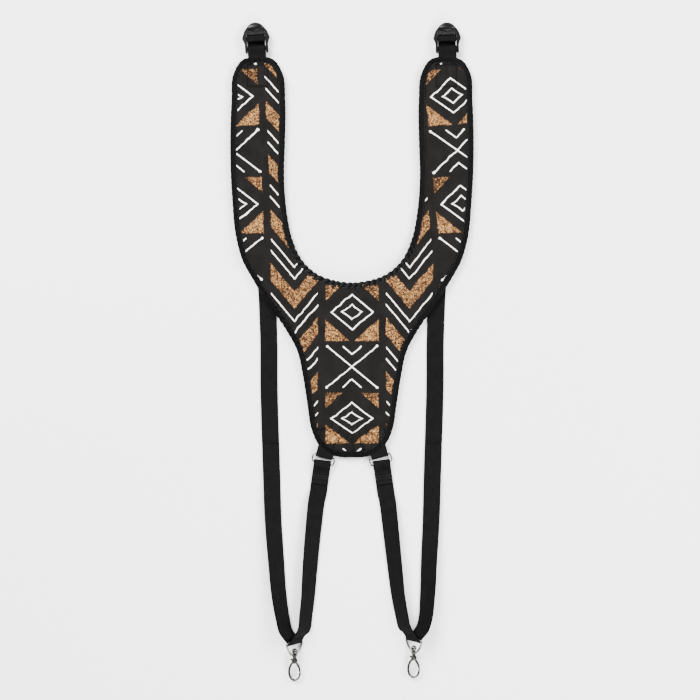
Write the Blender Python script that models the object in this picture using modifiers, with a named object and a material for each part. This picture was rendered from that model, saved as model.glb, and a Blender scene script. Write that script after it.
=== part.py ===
"""A padded shoulder harness for a saxophone, laid flat, with two webbing straps and two swivel snap hooks.

Metres. +X across the harness, +Y from the hooks towards the shoulder arms, +Z up from the table.
"""

import math

import bmesh
import bpy
from mathutils import Matrix, Vector

MM = 0.001
GAP = 0.3 * MM

# Yoke: the layers from the table up, and the taped edge.
PAD_BOTTOM = 1.7 * MM
PAD_TOP = 9.7 * MM
TAPE = 0.7 * MM
TAPE_WIDTH = 8.0 * MM
LAYER = 0.7 * MM
PAD_MIDDLE = (PAD_BOTTOM + PAD_TOP) / 2
OUTLINE_STEPS = 2
BEARING = ((-32 * MM, 32 * MM), (-80 * MM, 60 * MM))
BULGE = 0.1 * MM

# Webbing.
WEB_WIDTH = 20.0 * MM
WEB = 1.4 * MM
TAB_DEPTH = 30.0 * MM

# Ladder lock: a plate in its own frame, with +Y towards the thumb tab and its anchor bar at y = 0.
BUCKLE_X = 109.6 * MM
BUCKLE_Y = 348.5 * MM
BUCKLE_Z = 6.2 * MM
ANCHOR_HALF = 2.2 * MM
ANCHOR_LOOP = 3.5 * MM
ANCHOR_BAR_HALF = 1.2 * MM
MIDDLE_BAR = (10.1 * MM, 13.7 * MM)
MIDDLE_BAR_HALF = 1.0 * MM
TOOTH_BAR = 16.0 * MM
TOOTH_BED_END = 21.2 * MM
TOOTH_BED_HALF = 0.6 * MM
TEETH = 7
TOOTH_PITCH = 2.6 * MM
TOOTH_HALF = 0.45 * MM
TOOTH_REACH = (16.4 * MM, 20.6 * MM)
TOOTH_HEIGHT = 1.3 * MM
PLATE_HALF = 1.8 * MM
SLOT_HALF = 10.75 * MM
STOP_FOLD = 22.0 * MM
TAB_HUMP = (24.6 * MM, 9.6 * MM, 4.4 * MM, 2.4 * MM)
TAB_EDGE = 8.5 * MM
LOAD_LEG = 1.9 * MM
JOIN = 1.0 * MM

# Where the two runs of each strap come together: the mean x of the two hooks, the y (in mm) at which
# a run has moved across by its hook's full difference from that mean, and a point on each run
# measured from its fold, as (outwards or inwards, up the strap, height of its middle).
FOLD_MIDDLE = 69.0 * MM
SPREAD_END = -311
NEAR_FOLD = (10.2 * MM, 12.5 * MM, 9.4 * MM)

# Rectangular ring at each lower corner of the tongue.
RING_X = 33.0 * MM
RING_Y = -123.8 * MM
RING_TURN = math.radians(15)
RING_WIRE = 1.0 * MM
RING_SPACING = 9.0 * MM
RING_HALF = 12.7 * MM
RING_CORNER = 3.0 * MM
RING_Z = 4.4 * MM
LOOP_R = RING_WIRE + GAP + WEB / 2
TAB_EXIT = 8.2 * MM
STRAP_TURN = math.radians(8)
LOOP_SLACK = 1.3 * MM
RING_FOLD = 26.0 * MM
FOLDED_END = 24.0 * MM

# Snap hook, measured along its own axis from the webbing bar of its D loop.
HOOK_DIP = math.radians(8.5)
HOOK_BANK = math.radians(45)
HOOK_Z = 10.2 * MM
D_WIRE = 1.2 * MM
D_HALF = 11.8 * MM
D_BALL = 10.7 * MM
BALL_R = 3.4 * MM
COLLAR = (14.4 * MM, 16.8 * MM)
COLLAR_R = 3.1 * MM
SHANK_R = 1.3 * MM
FOOT_R = 2.0 * MM
PIVOT = 21.9 * MM
BOSS_R = 3.2 * MM
KNUCKLE_ROOM = 2.3 * MM
CHEEK = (1.7 * MM, 2.7 * MM)
KNUCKLE = (-1.4 * MM, 0.2 * MM)
PIN_R = 0.8 * MM
HOOK_WIRE = 1.15 * MM
SPRING_R = 1.45 * MM
SPRING_WIRE = 0.28 * MM
SPRING_TURNS = 1.25
FOLD_R = D_WIRE + GAP + WEB / 2
FOLD_LEG = 4.0 * MM
FOLD_SLANT = 0.84
FOLD_BLEND = 16.0 * MM

SIDES = {
    "left": {"sign": -1, "buckle_turn": math.radians(4.0), "fold": (-66.0 * MM, -333.0 * MM)},
    "right": {"sign": 1, "buckle_turn": math.radians(1.5), "fold": (71.0 * MM, -329.6 * MM)},
}

# Half of the yoke's edge, from the middle of the tongue, up the outer side and down to the neck.
YOKE_EDGE = [
    (0, -121.5), (19, -120), (31, -114), (40, -104.5), (46.5, -90), (51.6, -60), (57, -26), (63.5, 2),
    (76, 25), (95, 53), (114, 83), (126.5, 106), (133, 129), (138, 175), (140.3, 232), (138.8, 290),
    (136.5, 320), (127, 335.5), (109.5, 340), (90, 336.5), (79.5, 320), (76.5, 290), (76.8, 240),
    (77.8, 200), (75, 163), (68, 129), (57, 106), (40, 90.5), (18, 82.5), (0, 80.5),
]


def material(name, colour, roughness, metallic=0.0):
    """A plain Principled material for one sub-part."""
    made = bpy.data.materials.new(name)
    made.use_nodes = True
    shader = made.node_tree.nodes["Principled BSDF"]
    shader.inputs["Base Color"].default_value = (*colour, 1)
    shader.inputs["Roughness"].default_value = roughness
    shader.inputs["Metallic"].default_value = metallic
    return made


def start():
    """An empty scene with one collection for the harness and one for its cutters."""
    for old in list(bpy.data.objects):
        bpy.data.objects.remove(old, do_unlink=True)
    for name in ("shoulder_harness", "cutters"):
        bpy.context.scene.collection.children.link(bpy.data.collections.new(name))


def add(name, data, colour, roughness=0.7, metallic=0.0):
    """Places data as a named sub-part with its own material."""
    obj = bpy.data.objects.new(name, data)
    data.materials.append(material(name, colour, roughness, metallic))
    bpy.data.collections["shoulder_harness"].objects.link(obj)
    return obj


def metal(name, data, frame, roughness=0.2):
    """A nickel-plated piece in a frame."""
    made = add(name, data, (0.6, 0.6, 0.6), roughness, 1.0)
    made.matrix_world = frame
    return made


def guide(name, data):
    """Places data as a cutter or a bevel guide, which is no part of the harness."""
    obj = bpy.data.objects.new(name, data)
    bpy.data.collections["cutters"].objects.link(obj)
    obj.hide_render = True
    obj.display_type = "WIRE"
    return obj


def smooth_path(points, steps, closed=False):
    """Points on a smooth curve through the given ones, with a number of steps between each two."""
    points = [Vector(p) for p in points]
    count = len(points)
    spans = [(points[(i + 1) % count].xyz - points[i].xyz).length for i in range(count)]
    slopes = [(points[(i + 1) % count] - points[i]) / max(spans[i], GAP) for i in range(count)]
    tangents = [(slopes[i - 1] * spans[i] + slopes[i] * spans[i - 1]) / (spans[i - 1] + spans[i])
                for i in range(count)]
    if not closed:
        tangents[0], tangents[-1] = slopes[0], slopes[-2]
    path = []
    for i in range(count if closed else count - 1):
        b, c = points[i], points[(i + 1) % count]
        leaving, arriving = tangents[i] * spans[i], tangents[(i + 1) % count] * spans[i]
        for k in range(steps):
            t = k / steps
            path.append(b * (2 * t**3 - 3 * t**2 + 1) + leaving * (t**3 - 2 * t**2 + t)
                        + c * (3 * t**2 - 2 * t**3) + arriving * (t**3 - t**2))
    return path if closed else path + [points[-1]]


def yoke_outline(inset):
    """The yoke's closed edge, moved inwards by inset."""
    half = [Vector((x * MM, y * MM, 0)) for x, y in YOKE_EDGE]
    other = [Vector((-p.x, p.y, 0)) for p in reversed(half[1:-1])]
    edge = smooth_path(half + other, OUTLINE_STEPS, closed=True)
    moved = []
    for i, point in enumerate(edge):
        along = edge[(i + 1) % len(edge)] - edge[i - 1]
        inwards = Vector((-along.y, along.x, 0)).normalized()
        moved.append(point + inwards * inset)
    return moved


def spline(curve, points, closed, tilts=None):
    """Adds a straight-segment spline through 3D points."""
    line = curve.splines.new("POLY")
    line.points.add(len(points) - 1)
    for i, point in enumerate(points):
        line.points[i].co = (point[0], point[1], point[2] if len(point) > 2 else 0, 1)
        line.points[i].tilt = tilts[i] if tilts else 0
    line.use_cyclic_u = closed


def plate_curve(outlines, thickness):
    """A flat outline with its holes, filled on both faces, thickness thick about its own plane."""
    curve = bpy.data.curves.new("plate", "CURVE")
    curve.dimensions = "2D"
    curve.fill_mode = "BOTH"
    curve.extrude = thickness / 2
    for outline in outlines:
        spline(curve, outline, True)
    return curve


def profile(points):
    """A closed bevel profile for a swept shape."""
    curve = bpy.data.curves.new("profile", "CURVE")
    curve.dimensions = "2D"
    curve.fill_mode = "NONE"
    spline(curve, points, True)
    return guide("profile_guide", curve)


def swept_curve(points, shape, closed=False, tilts=None):
    """A profile swept along a path and kept upright, with closed ends."""
    curve = bpy.data.curves.new("sweep", "CURVE")
    curve.dimensions = "3D"
    curve.twist_mode = "Z_UP"
    curve.bevel_mode = "OBJECT"
    curve.bevel_object = shape
    curve.use_fill_caps = not closed
    spline(curve, points, closed, tilts)
    return curve


def wire_curve(points, radius, closed=False, resolution=2):
    """A round wire along a path."""
    curve = bpy.data.curves.new("wire", "CURVE")
    curve.dimensions = "3D"
    curve.bevel_depth = radius
    curve.bevel_resolution = resolution
    curve.use_fill_caps = not closed
    spline(curve, points, closed)
    return curve


def as_mesh(obj):
    """The same object as a welded mesh, where a Boolean has to follow."""
    depsgraph = bpy.context.evaluated_depsgraph_get()
    bpy.context.view_layer.update()
    made = bpy.data.meshes.new_from_object(obj.evaluated_get(depsgraph))
    shape = bmesh.new()
    shape.from_mesh(made)
    bmesh.ops.remove_doubles(shape, verts=shape.verts, dist=0.000005)
    bmesh.ops.recalc_face_normals(shape, faces=shape.faces)
    shape.to_mesh(made)
    shape.free()
    new = bpy.data.objects.new(obj.name, made)
    new.matrix_world = obj.matrix_world
    obj.users_collection[0].objects.link(new)
    name = obj.name
    bpy.data.objects.remove(obj)
    new.name = name
    return new


def combine(obj, tool, operation):
    """A Boolean between a mesh and a tool that stays in the cutters' collection."""
    step = obj.modifiers.new(operation.lower(), "BOOLEAN")
    step.operation = operation
    step.object = tool


def shape_with(obj, name, data, frame, operation):
    """A Boolean between a mesh and a tool placed in the same frame."""
    tool = guide(f"{obj.name}_{name}", data)
    tool.matrix_world = frame
    combine(obj, tool, operation)


def box_mesh(name, low, high):
    """A box between two corners."""
    shape = bmesh.new()
    bmesh.ops.create_cube(shape, size=1)
    for vert in shape.verts:
        vert.co = Vector((low[i] + (vert.co[i] + 0.5) * (high[i] - low[i]) for i in range(3)))
    made = bpy.data.meshes.new(name)
    shape.to_mesh(made)
    shape.free()
    return made


def cylinder_mesh(name, radius, low, high, axis="Z", sides=24):
    """A cylinder about an axis through the origin, from low to high along it."""
    shape = bmesh.new()
    bmesh.ops.create_cone(shape, cap_ends=True, segments=sides, radius1=radius, radius2=radius,
                          depth=high - low)
    turn = {"X": Matrix.Rotation(math.pi / 2, 3, "Y"), "Y": Matrix.Rotation(-math.pi / 2, 3, "X"),
            "Z": Matrix.Identity(3)}[axis]
    centre = turn @ Vector((0, 0, (low + high) / 2))
    for vert in shape.verts:
        vert.co = turn @ vert.co + centre
    made = bpy.data.meshes.new(name)
    shape.to_mesh(made)
    shape.free()
    made.shade_smooth()
    return made


def webbing(name, path, frame, width=WEB_WIDTH):
    """Folded webbing seen edge on: path is (along, up) in a frame, and the webbing is width wide."""
    points = [Vector((p[0], p[1], 0)) for p in path]
    sides = ([], [])
    for i, point in enumerate(points):
        along = points[min(i + 1, len(points) - 1)] - points[max(i - 1, 0)]
        across = Vector((-along.y, along.x, 0)).normalized() * (WEB / 2)
        sides[0].append(point + across)
        sides[1].append(point - across)
    obj = add(name, plate_curve([sides[0] + sides[1][::-1]], width), (0.012, 0.012, 0.013), 0.85)
    edge_on = Matrix(((0, 0, 1, 0), (1, 0, 0, 0), (0, 1, 0, 0), (0, 0, 0, 1)))
    obj.matrix_world = frame @ edge_on
    return obj


def arc(centre, radius, first, last, count=10):
    """Points on a circle between two angles in degrees."""
    angles = [math.radians(first + (last - first) * i / count) for i in range(count + 1)]
    return [(centre[0] + radius * math.cos(a), centre[1] + radius * math.sin(a)) for a in angles]


def frame_at(x, y, z, turn=0.0):
    """A frame at a point, turned about +Z."""
    return Matrix.Translation((x, y, z)) @ Matrix.Rotation(turn, 4, "Z")


def buckle_frame(side):
    """Buckle frame: x across the webbing, y towards the thumb tab, origin on the anchor bar."""
    lay = SIDES[side]
    return frame_at(lay["sign"] * BUCKLE_X, BUCKLE_Y, BUCKLE_Z, lay["buckle_turn"])


def ring_frame(side):
    """Ring frame: x along the bars, y from the strap towards the tongue."""
    sign = SIDES[side]["sign"]
    return frame_at(sign * RING_X, RING_Y, RING_Z, sign * RING_TURN)


def strap_frame(side):
    """Strap frame: x across the webbing, y towards the tongue, origin on the ring's lower bar."""
    x, y, z = ring_frame(side) @ Vector((0, -RING_SPACING / 2, 0))
    return frame_at(x, y, z, SIDES[side]["sign"] * STRAP_TURN)


def loop_frame(side):
    """D loop frame: x along the webbing bar, y away from the hook, z out of the loop's plane."""
    lay = SIDES[side]
    x, y = lay["fold"]
    level = Matrix.Translation((x, y, HOOK_Z)) @ Matrix.Rotation(HOOK_DIP, 4, "X")
    return level @ Matrix.Rotation(-lay["sign"] * HOOK_BANK, 4, "Y")


def hook_frame(side):
    """Hook frame: the same axis as the D loop, with the hook's own plane level across."""
    x, y = SIDES[side]["fold"]
    return Matrix.Translation((x, y, HOOK_Z)) @ Matrix.Rotation(HOOK_DIP, 4, "X")


def layer(name, inset, low, high, colour, holes=()):
    """One flat layer of the yoke."""
    obj = add(name, plate_curve([yoke_outline(inset), *holes], high - low), colour, 0.9)
    obj.location.z = (low + high) / 2
    return obj


def tab_cutters():
    """Boxes that leave room for the four webbing tabs inside the yoke."""
    cutters = []
    room = WEB + GAP * 2.2
    across = WEB_WIDTH / 2 + GAP
    for side in SIDES:
        places = ((f"{side}_buckle_notch", buckle_frame(side), -TAB_EDGE, -1),
                  (f"{side}_ring_notch", ring_frame(side), TAB_EXIT, 1))
        for name, frame, edge, way in places:
            inner = edge + way * (TAB_DEPTH + GAP)
            outer = edge - way * 4 * MM
            low, high = min(inner, outer), max(inner, outer)
            cutter = guide(name, box_mesh(name, (-across, low, -room), (across, high, room)))
            cutter.matrix_world = Matrix.Translation((0, 0, PAD_MIDDLE - frame.translation.z)) @ frame
            cutters.append(cutter)
    return cutters


def close_bearing_faces(lining):
    """Closes the lining's rectangular hole, with the lower face bulging a little towards the wearer."""
    shape = bmesh.new()
    shape.from_mesh(lining.data)
    (left, right), (low, high) = BEARING
    walls = [face for face in shape.faces if abs(face.normal.z) < 0.5 and all(
        left - GAP < v.co.x < right + GAP and low - GAP < v.co.y < high + GAP for v in face.verts)]
    bmesh.ops.delete(shape, geom=walls, context="FACES_ONLY")
    closed = bmesh.ops.holes_fill(shape, edges=[edge for edge in shape.edges if edge.is_boundary], sides=4)
    for vert in {v for face in closed["faces"] for v in face.verts if v.co.z < 0}:
        vert.co.z -= BULGE
    bmesh.ops.recalc_face_normals(shape, faces=shape.faces)
    shape.to_mesh(lining.data)
    shape.free()


def yoke():
    """The yoke's lining, foam, front panel and taped edge."""
    lining_low = PAD_BOTTOM + TAPE + GAP
    front_high = PAD_TOP - TAPE - GAP
    inset = TAPE + GAP
    (left, right), (low, high) = BEARING
    bearing = [(left, low), (right, low), (right, high), (left, high)]
    lining = layer("yoke_back_lining", inset, lining_low, lining_low + LAYER, (0.02, 0.02, 0.02), [bearing])
    close_bearing_faces(as_mesh(lining))
    layer("yoke_front_panel", inset, front_high - LAYER, front_high, (0.05, 0.045, 0.042))
    foam = as_mesh(layer("yoke_foam", inset, lining_low + LAYER + GAP, front_high - LAYER - GAP,
                         (0.25, 0.25, 0.25)))
    half = (PAD_TOP - PAD_BOTTOM) / 2
    shape = [(0, half), (-TAPE_WIDTH, half), (-TAPE_WIDTH, half - TAPE), (-TAPE, half - TAPE),
             (-TAPE, -half + TAPE), (-TAPE_WIDTH, -half + TAPE), (-TAPE_WIDTH, -half), (0, -half)]
    tape = add("edge_binding", swept_curve(yoke_outline(0), profile(shape), closed=True),
               (0.01, 0.01, 0.01), 0.6)
    tape.location.z = PAD_MIDDLE
    tape = as_mesh(tape)
    for cutter in tab_cutters():
        combine(foam, cutter, "DIFFERENCE")
        combine(tape, cutter, "DIFFERENCE")


def buckle_tab(side):
    """The webbing loop that holds the ladder lock, sewn into the arm's end."""
    leg = (WEB + GAP) / 2
    drop = PAD_MIDDLE - BUCKLE_Z
    radius = ANCHOR_LOOP
    inner = -TAB_EDGE - TAB_DEPTH
    path = [(inner, drop + leg), (-9.5 * MM, drop + leg), (-6.5 * MM, drop + leg + 0.6 * MM)]
    path += arc((0, 0), radius, 125, -125, 16)
    path += [(-6.5 * MM, drop - leg - 0.6 * MM), (-9.5 * MM, drop - leg), (inner, drop - leg)]
    webbing(f"{side}_buckle_tab", path, buckle_frame(side))


def ring_tab(side):
    """The webbing loop that holds the ring, sewn into the tongue's corner."""
    leg = (WEB + GAP) / 2
    rise = PAD_MIDDLE - RING_Z
    bar = RING_SPACING / 2
    inner = TAB_EXIT + TAB_DEPTH
    path = [(inner, rise + leg), (TAB_EXIT, rise + leg)]
    path += arc((bar, 0), LOOP_R, 70, 290, 14)
    path += [(TAB_EXIT, rise - leg), (inner, rise - leg)]
    webbing(f"{side}_ring_tab", path, ring_frame(side))


def buckle_outline():
    """The ladder lock's edge: a rounded thumb tab, two ears and two rails past the anchor bar."""
    half = [(0, 30.4), (3.6, 29.9), (6.9, 28.1), (10.8, 23.8), (12.8, 21.2), (14.2, 18), (16.1, 12.6),
            (15.6, 11.2), (14.2, 8), (13.5, 5.5), (13.5, -3.6), (12.4, -5), (10.8, -5), (10.75, -2.2)]
    right = [(x * MM, y * MM) for x, y in half]
    return right + [(-x, y) for x, y in reversed(right[1:])]


def slot_outline(low, high):
    """A straight slot for webbing across the ladder lock."""
    return [(-SLOT_HALF, low), (SLOT_HALF, low), (SLOT_HALF, high), (-SLOT_HALF, high)]


def ladder_lock(side):
    """The plastic ladder lock: anchor bar, middle bar, toothed bar and thumb tab."""
    frame = buckle_frame(side)
    slots = [slot_outline(ANCHOR_HALF, MIDDLE_BAR[0]), slot_outline(MIDDLE_BAR[1], TOOTH_BAR)]
    lock = add(f"{side}_ladder_lock", plate_curve([buckle_outline()] + slots, PLATE_HALF * 2),
               (0.02, 0.02, 0.022), 0.25)
    lock.matrix_world = frame
    lock = as_mesh(lock)
    thinned = (
        ("anchor_bar", -ANCHOR_HALF * 2, ANCHOR_HALF + MM, ANCHOR_BAR_HALF, (1, -1)),
        ("middle_bar", MIDDLE_BAR[0] - MM, TOOTH_BAR - MM, MIDDLE_BAR_HALF, (1, -1)),
        ("tooth_bed", TOOTH_BAR - MM, TOOTH_BED_END, TOOTH_BED_HALF, (1,)),
    )
    for part, near, far, level, ways in thinned:
        for way in ways:
            low, high = sorted((way * level, way * PLATE_HALF * 2))
            cut = box_mesh("thinned", (-SLOT_HALF, near, low), (SLOT_HALF, far, high))
            shape_with(lock, f"{part}_{way}", cut, frame, "DIFFERENCE")
    for tooth in range(TEETH):
        x = (tooth - (TEETH - 1) / 2) * TOOTH_PITCH
        low, high = (x - TOOTH_HALF, TOOTH_REACH[0], 0), (x + TOOTH_HALF, TOOTH_REACH[1], TOOTH_HEIGHT)
        rib = box_mesh("rib", low, high)
        shape_with(lock, f"tooth_{tooth}", rib, frame, "UNION")
    shape_with(lock, "hump", thumb_tab_mesh(), frame, "UNION")


def thumb_tab_mesh():
    """A low rounded hump over the ladder lock's end."""
    middle, width, depth, height = TAB_HUMP
    shape = bmesh.new()
    bmesh.ops.create_uvsphere(shape, u_segments=24, v_segments=12, radius=1)
    for vert in shape.verts:
        x, y, z = vert.co
        vert.co = (x * width, middle + y * depth, PLATE_HALF - 0.2 * MM + z * height)
    made = bpy.data.meshes.new("thumb_tab")
    shape.to_mesh(made)
    shape.free()
    return made


def strap_thread(side):
    """The strap's end: over the middle bar, down under the thumb tab, with a folded stop."""
    offset = GAP + WEB / 2
    near, far = MIDDLE_BAR[0] - offset, MIDDLE_BAR[1] + offset
    top = MIDDLE_BAR_HALF + offset
    turn = TOOTH_BAR - far
    under = -PLATE_HALF - turn
    corner = 0.9 * MM
    path = [(near, -LOAD_LEG)]
    path += arc((near + corner, top - corner), corner, 180, 90, 4)
    path += arc((far - corner, top - corner), corner, 90, 0, 4)
    path += arc((TOOTH_BAR, -PLATE_HALF), turn, 180, 270, 5)
    path += [(STOP_FOLD, under)]
    path += arc((STOP_FOLD, under - 0.85 * MM), 0.85 * MM, 60, -90, 5)
    path += [(STOP_FOLD - 5 * MM, under - 1.7 * MM)]
    webbing(f"{side}_strap_thread", path, buckle_frame(side))


def strap_section():
    """The webbing's cross-section, for a sweep."""
    w, t = WEB_WIDTH / 2, WEB / 2
    return [(-w, t), (w, t), (w, -t), (-w, -t)]


def web_height(bank):
    """Height of the webbing's middle when its lower edge rests on the table."""
    return WEB_WIDTH / 2 * math.sin(bank) + WEB / 2 * math.cos(bank) + 1.2 * MM * math.sin(bank)


def ribbon(name, stations):
    """Webbing through stations of (middle, width direction, way along it)."""
    shape = bmesh.new()
    rings = []
    for middle, across, along in stations:
        normal = along.cross(across).normalized() * (WEB / 2)
        half = across * (WEB_WIDTH / 2)
        corners = (middle - half + normal, middle + half + normal, middle + half - normal,
                   middle - half - normal)
        rings.append([shape.verts.new(corner) for corner in corners])
    for first, second in zip(rings, rings[1:]):
        for k in range(4):
            shape.faces.new((first[k], first[(k + 1) % 4], second[(k + 1) % 4], second[k]))
    shape.faces.new(rings[0])
    shape.faces.new(rings[-1])
    bmesh.ops.triangulate(shape, faces=shape.faces)
    bmesh.ops.recalc_face_normals(shape, faces=shape.faces)
    made = bpy.data.meshes.new(name)
    shape.to_mesh(made)
    shape.free()
    return add(name, made, (0.012, 0.012, 0.013), 0.85)


def with_ways(places):
    """Stations from (middle, width direction) pairs, with the way along them added."""
    last = len(places) - 1
    return [(middle, across, (places[min(i + 1, last)][0] - places[max(i - 1, 0)][0]).normalized())
            for i, (middle, across) in enumerate(places)]


def run_stations(side, points, banks, steps=5):
    """A run that rolls onto its edge by the banks given and ends lying along the D loop's bar."""
    sign = SIDES[side]["sign"]
    bar = loop_frame(side).to_3x3() @ Vector((sign, 0, 0))
    path = smooth_path([(*point, bank) for point, bank in zip(points, banks)], steps)
    places = []
    for i, point in enumerate(path):
        along = (path[min(i + 1, len(path) - 1)] - path[max(i - 1, 0)]).xyz.normalized()
        level = Vector((-along.y, along.x, 0)).normalized() * sign
        up = along.cross(level).normalized() * sign
        across = level * math.cos(point.w) + up * math.sin(point.w)
        left = (path[-1].xyz - point.xyz).length
        share = max(0, 1 - left / FOLD_BLEND)
        share = share * share * (3 - 2 * share)
        places.append((point.xyz, across.lerp(bar, share).normalized()))
    return with_ways(places)


def upper_strap(side, section):
    """The strap's run under the arm, from the ladder lock to the bend by the tongue."""
    sign = SIDES[side]["sign"]
    buckle = buckle_frame(side)
    turn_y = MIDDLE_BAR[0] - GAP - WEB / 2
    flat = WEB / 2
    bend = 2.0 * MM
    route = [(109.0, 320), (108, 280), (107, 230), (105, 170), (101.5, 110), (97.5, 60), (95.8, 10),
             (95.6, -40), (94.6, -80), (93.6, -111)]
    knee = arc((turn_y - bend, flat + bend - BUCKLE_Z), bend, 0, -90, 4)
    leading = [(turn_y, -LOAD_LEG - JOIN)] + knee + [(turn_y - bend - 3 * MM, flat - BUCKLE_Z)]
    points = [tuple(buckle @ Vector((0, y, z))) for y, z in leading]
    points += [(sign * x * MM, y * MM, flat) for x, y in route]
    path = smooth_path(points, 4)
    add(f"{side}_strap_upper", swept_curve(path, section), (0.012, 0.012, 0.013), 0.85)


def leg_point(side, way, distance):
    """A point on a leg of the fold over the D loop's bar; way is 1 for the leg above it and -1 below."""
    outwards = -way * SIDES[side]["sign"] * FOLD_SLANT * distance
    return loop_frame(side) @ Vector((outwards, distance, way * FOLD_R))


def free_run(side, name, route, banks, way):
    """A strap run from the tongue's level down to the fold over the D loop."""
    sign = SIDES[side]["sign"]
    fold_x, fold_y = SIDES[side]["fold"]
    shift = sign * fold_x - FOLD_MIDDLE
    points = []
    for (x, y), bank in zip(route, banks):
        share = (y - route[0][1]) / (SPREAD_END - route[0][1])
        points.append((sign * (x * MM + shift * share**3), y * MM, web_height(math.radians(bank))))
    points.append((fold_x - sign * way * NEAR_FOLD[0], fold_y + NEAR_FOLD[1], NEAR_FOLD[2]))
    points.append(leg_point(side, way, FOLD_LEG + JOIN))
    rolls = [math.radians(bank) for bank in banks] + [HOOK_BANK, HOOK_BANK]
    ribbon(name, run_stations(side, points, rolls))


def hook_fold(side):
    """The strap's fold over the D loop's bar, whose legs spread towards the two runs."""
    frame = loop_frame(side)
    across = frame.to_3x3() @ Vector((1, 0, 0))
    places = [(leg_point(side, 1, FOLD_LEG), across), (leg_point(side, 1, FOLD_LEG / 2), across)]
    places += [(frame @ Vector((0, y, z)), across) for y, z in arc((0, 0), FOLD_R, 90, 270, 12)]
    places += [(leg_point(side, -1, FOLD_LEG / 2), across), (leg_point(side, -1, FOLD_LEG), across)]
    ribbon(f"{side}_strap_hook_fold", with_ways(places))


def strap_free(side):
    """The two free runs of strap, and its end loop round the ring."""
    outer = [(93.55, -111.6), (92.4, -147), (91, -193), (88.2, -239), (85.2, -285), (82.6, -306)]
    free_run(side, f"{side}_strap_outer", outer, (0, 6, 14, 24, 34, 41), -1)
    sign = SIDES[side]["sign"]
    strap = strap_frame(side)
    table = WEB / 2 - RING_Z
    starts = [strap @ Vector((0, -RING_FOLD - distance, table)) for distance in (JOIN, 8 * MM)]
    inner = [(sign * start.x / MM, start.y / MM) for start in starts]
    inner += [(40.6, -170), (43.6, -195), (46.8, -226), (49.7, -256), (52.4, -283), (55.6, -303)]
    free_run(side, f"{side}_strap_inner", inner, (0, 3, 12, 21, 28, 34, 40, 43), 1)
    path = [(-RING_FOLD, table), (-10 * MM, table), (LOOP_SLACK - 2.4 * MM, -LOOP_R)]
    path += arc((LOOP_SLACK, 0), LOOP_R, -80, 90, 12)
    path += [(-2.6 * MM, LOOP_R), (-9 * MM, table + WEB + GAP * 1.5), (-FOLDED_END, table + WEB + GAP)]
    webbing(f"{side}_strap_ring_loop", path, strap)


def ring(side):
    """The rectangular wire ring with rounded corners."""
    x, y = RING_HALF - RING_CORNER, RING_SPACING / 2 - RING_CORNER
    points = []
    for sx, sy, first in ((1, -1, -90), (1, 1, 0), (-1, 1, 90), (-1, -1, 180)):
        points += arc((sx * x, sy * y), RING_CORNER, first, first + 90, 4)
    wire = wire_curve([(px, py, 0) for px, py in points], RING_WIRE, closed=True)
    metal(f"{side}_ring", wire, ring_frame(side))


def hook_loop(side):
    """The D loop: a webbing bar, two sides drawn in to a collar, and the collar's bore."""
    half = [(D_HALF - 1.2 * MM, 0), (D_HALF - 0.3 * MM, -0.4 * MM), (D_HALF, -1.4 * MM),
            (D_HALF - 0.6 * MM, -4.6 * MM), (9.4 * MM, -8.6 * MM), (6.6 * MM, -12.2 * MM),
            (3.6 * MM, -14.9 * MM), (2.2 * MM, -15.6 * MM)]
    points = half + [(-x, y) for x, y in reversed(half)]
    frame = loop_frame(side)
    wire = wire_curve([(x, y, 0) for x, y in points], D_WIRE, closed=True)
    made = as_mesh(metal(f"{side}_hook_loop", wire, frame))
    tools = (("collar", COLLAR_R, COLLAR, "UNION"),
             ("bore", SHANK_R + GAP, (COLLAR[0] - 2 * MM, COLLAR[1] + 2 * MM), "DIFFERENCE"),
             ("seat", BALL_R + GAP, (D_BALL - BALL_R - MM, COLLAR[0]), "DIFFERENCE"))
    for tool, radius, (near, far), operation in tools:
        shape_with(made, tool, cylinder_mesh(tool, radius, -far, -near, "Y"), frame, operation)


def swivel_post(side):
    """The post that turns in the collar: a round head, a shank and a foot on the hook."""
    outline = [(r, -a) for r, a in turned_post_profile()]
    curve = bpy.data.meshes.new("post")
    shape = bmesh.new()
    verts = [shape.verts.new((r, a, 0)) for r, a in outline]
    for first, second in zip(verts, verts[1:]):
        shape.edges.new((first, second))
    shape.to_mesh(curve)
    shape.free()
    made = metal(f"{side}_swivel_post", curve, hook_frame(side))
    turn = made.modifiers.new("turn", "SCREW")
    turn.axis = "Y"
    turn.steps = 20
    turn.render_steps = 20
    turn.use_merge_vertices = True
    turn.merge_threshold = 0.00001


def turned_post_profile():
    """(radius, distance from the webbing bar) down the post's outer side, head first."""
    points = []
    neck = math.asin(SHANK_R / BALL_R)
    for step in range(11):
        angle = (math.pi - neck) * step / 10
        points.append((BALL_R * math.sin(angle), D_BALL - BALL_R * math.cos(angle)))
    foot = PIVOT - BOSS_R - GAP
    points += [(SHANK_R, COLLAR[1] + GAP), (FOOT_R, COLLAR[1] + GAP), (FOOT_R, foot), (0, foot)]
    points[0] = (0, D_BALL - BALL_R)
    return points


def pivot_frame(side):
    """Frame on the gate's pin: x across the hook, y towards the D loop, z along the pin."""
    return hook_frame(side) @ Matrix.Translation((0, -PIVOT, 0))


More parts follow.
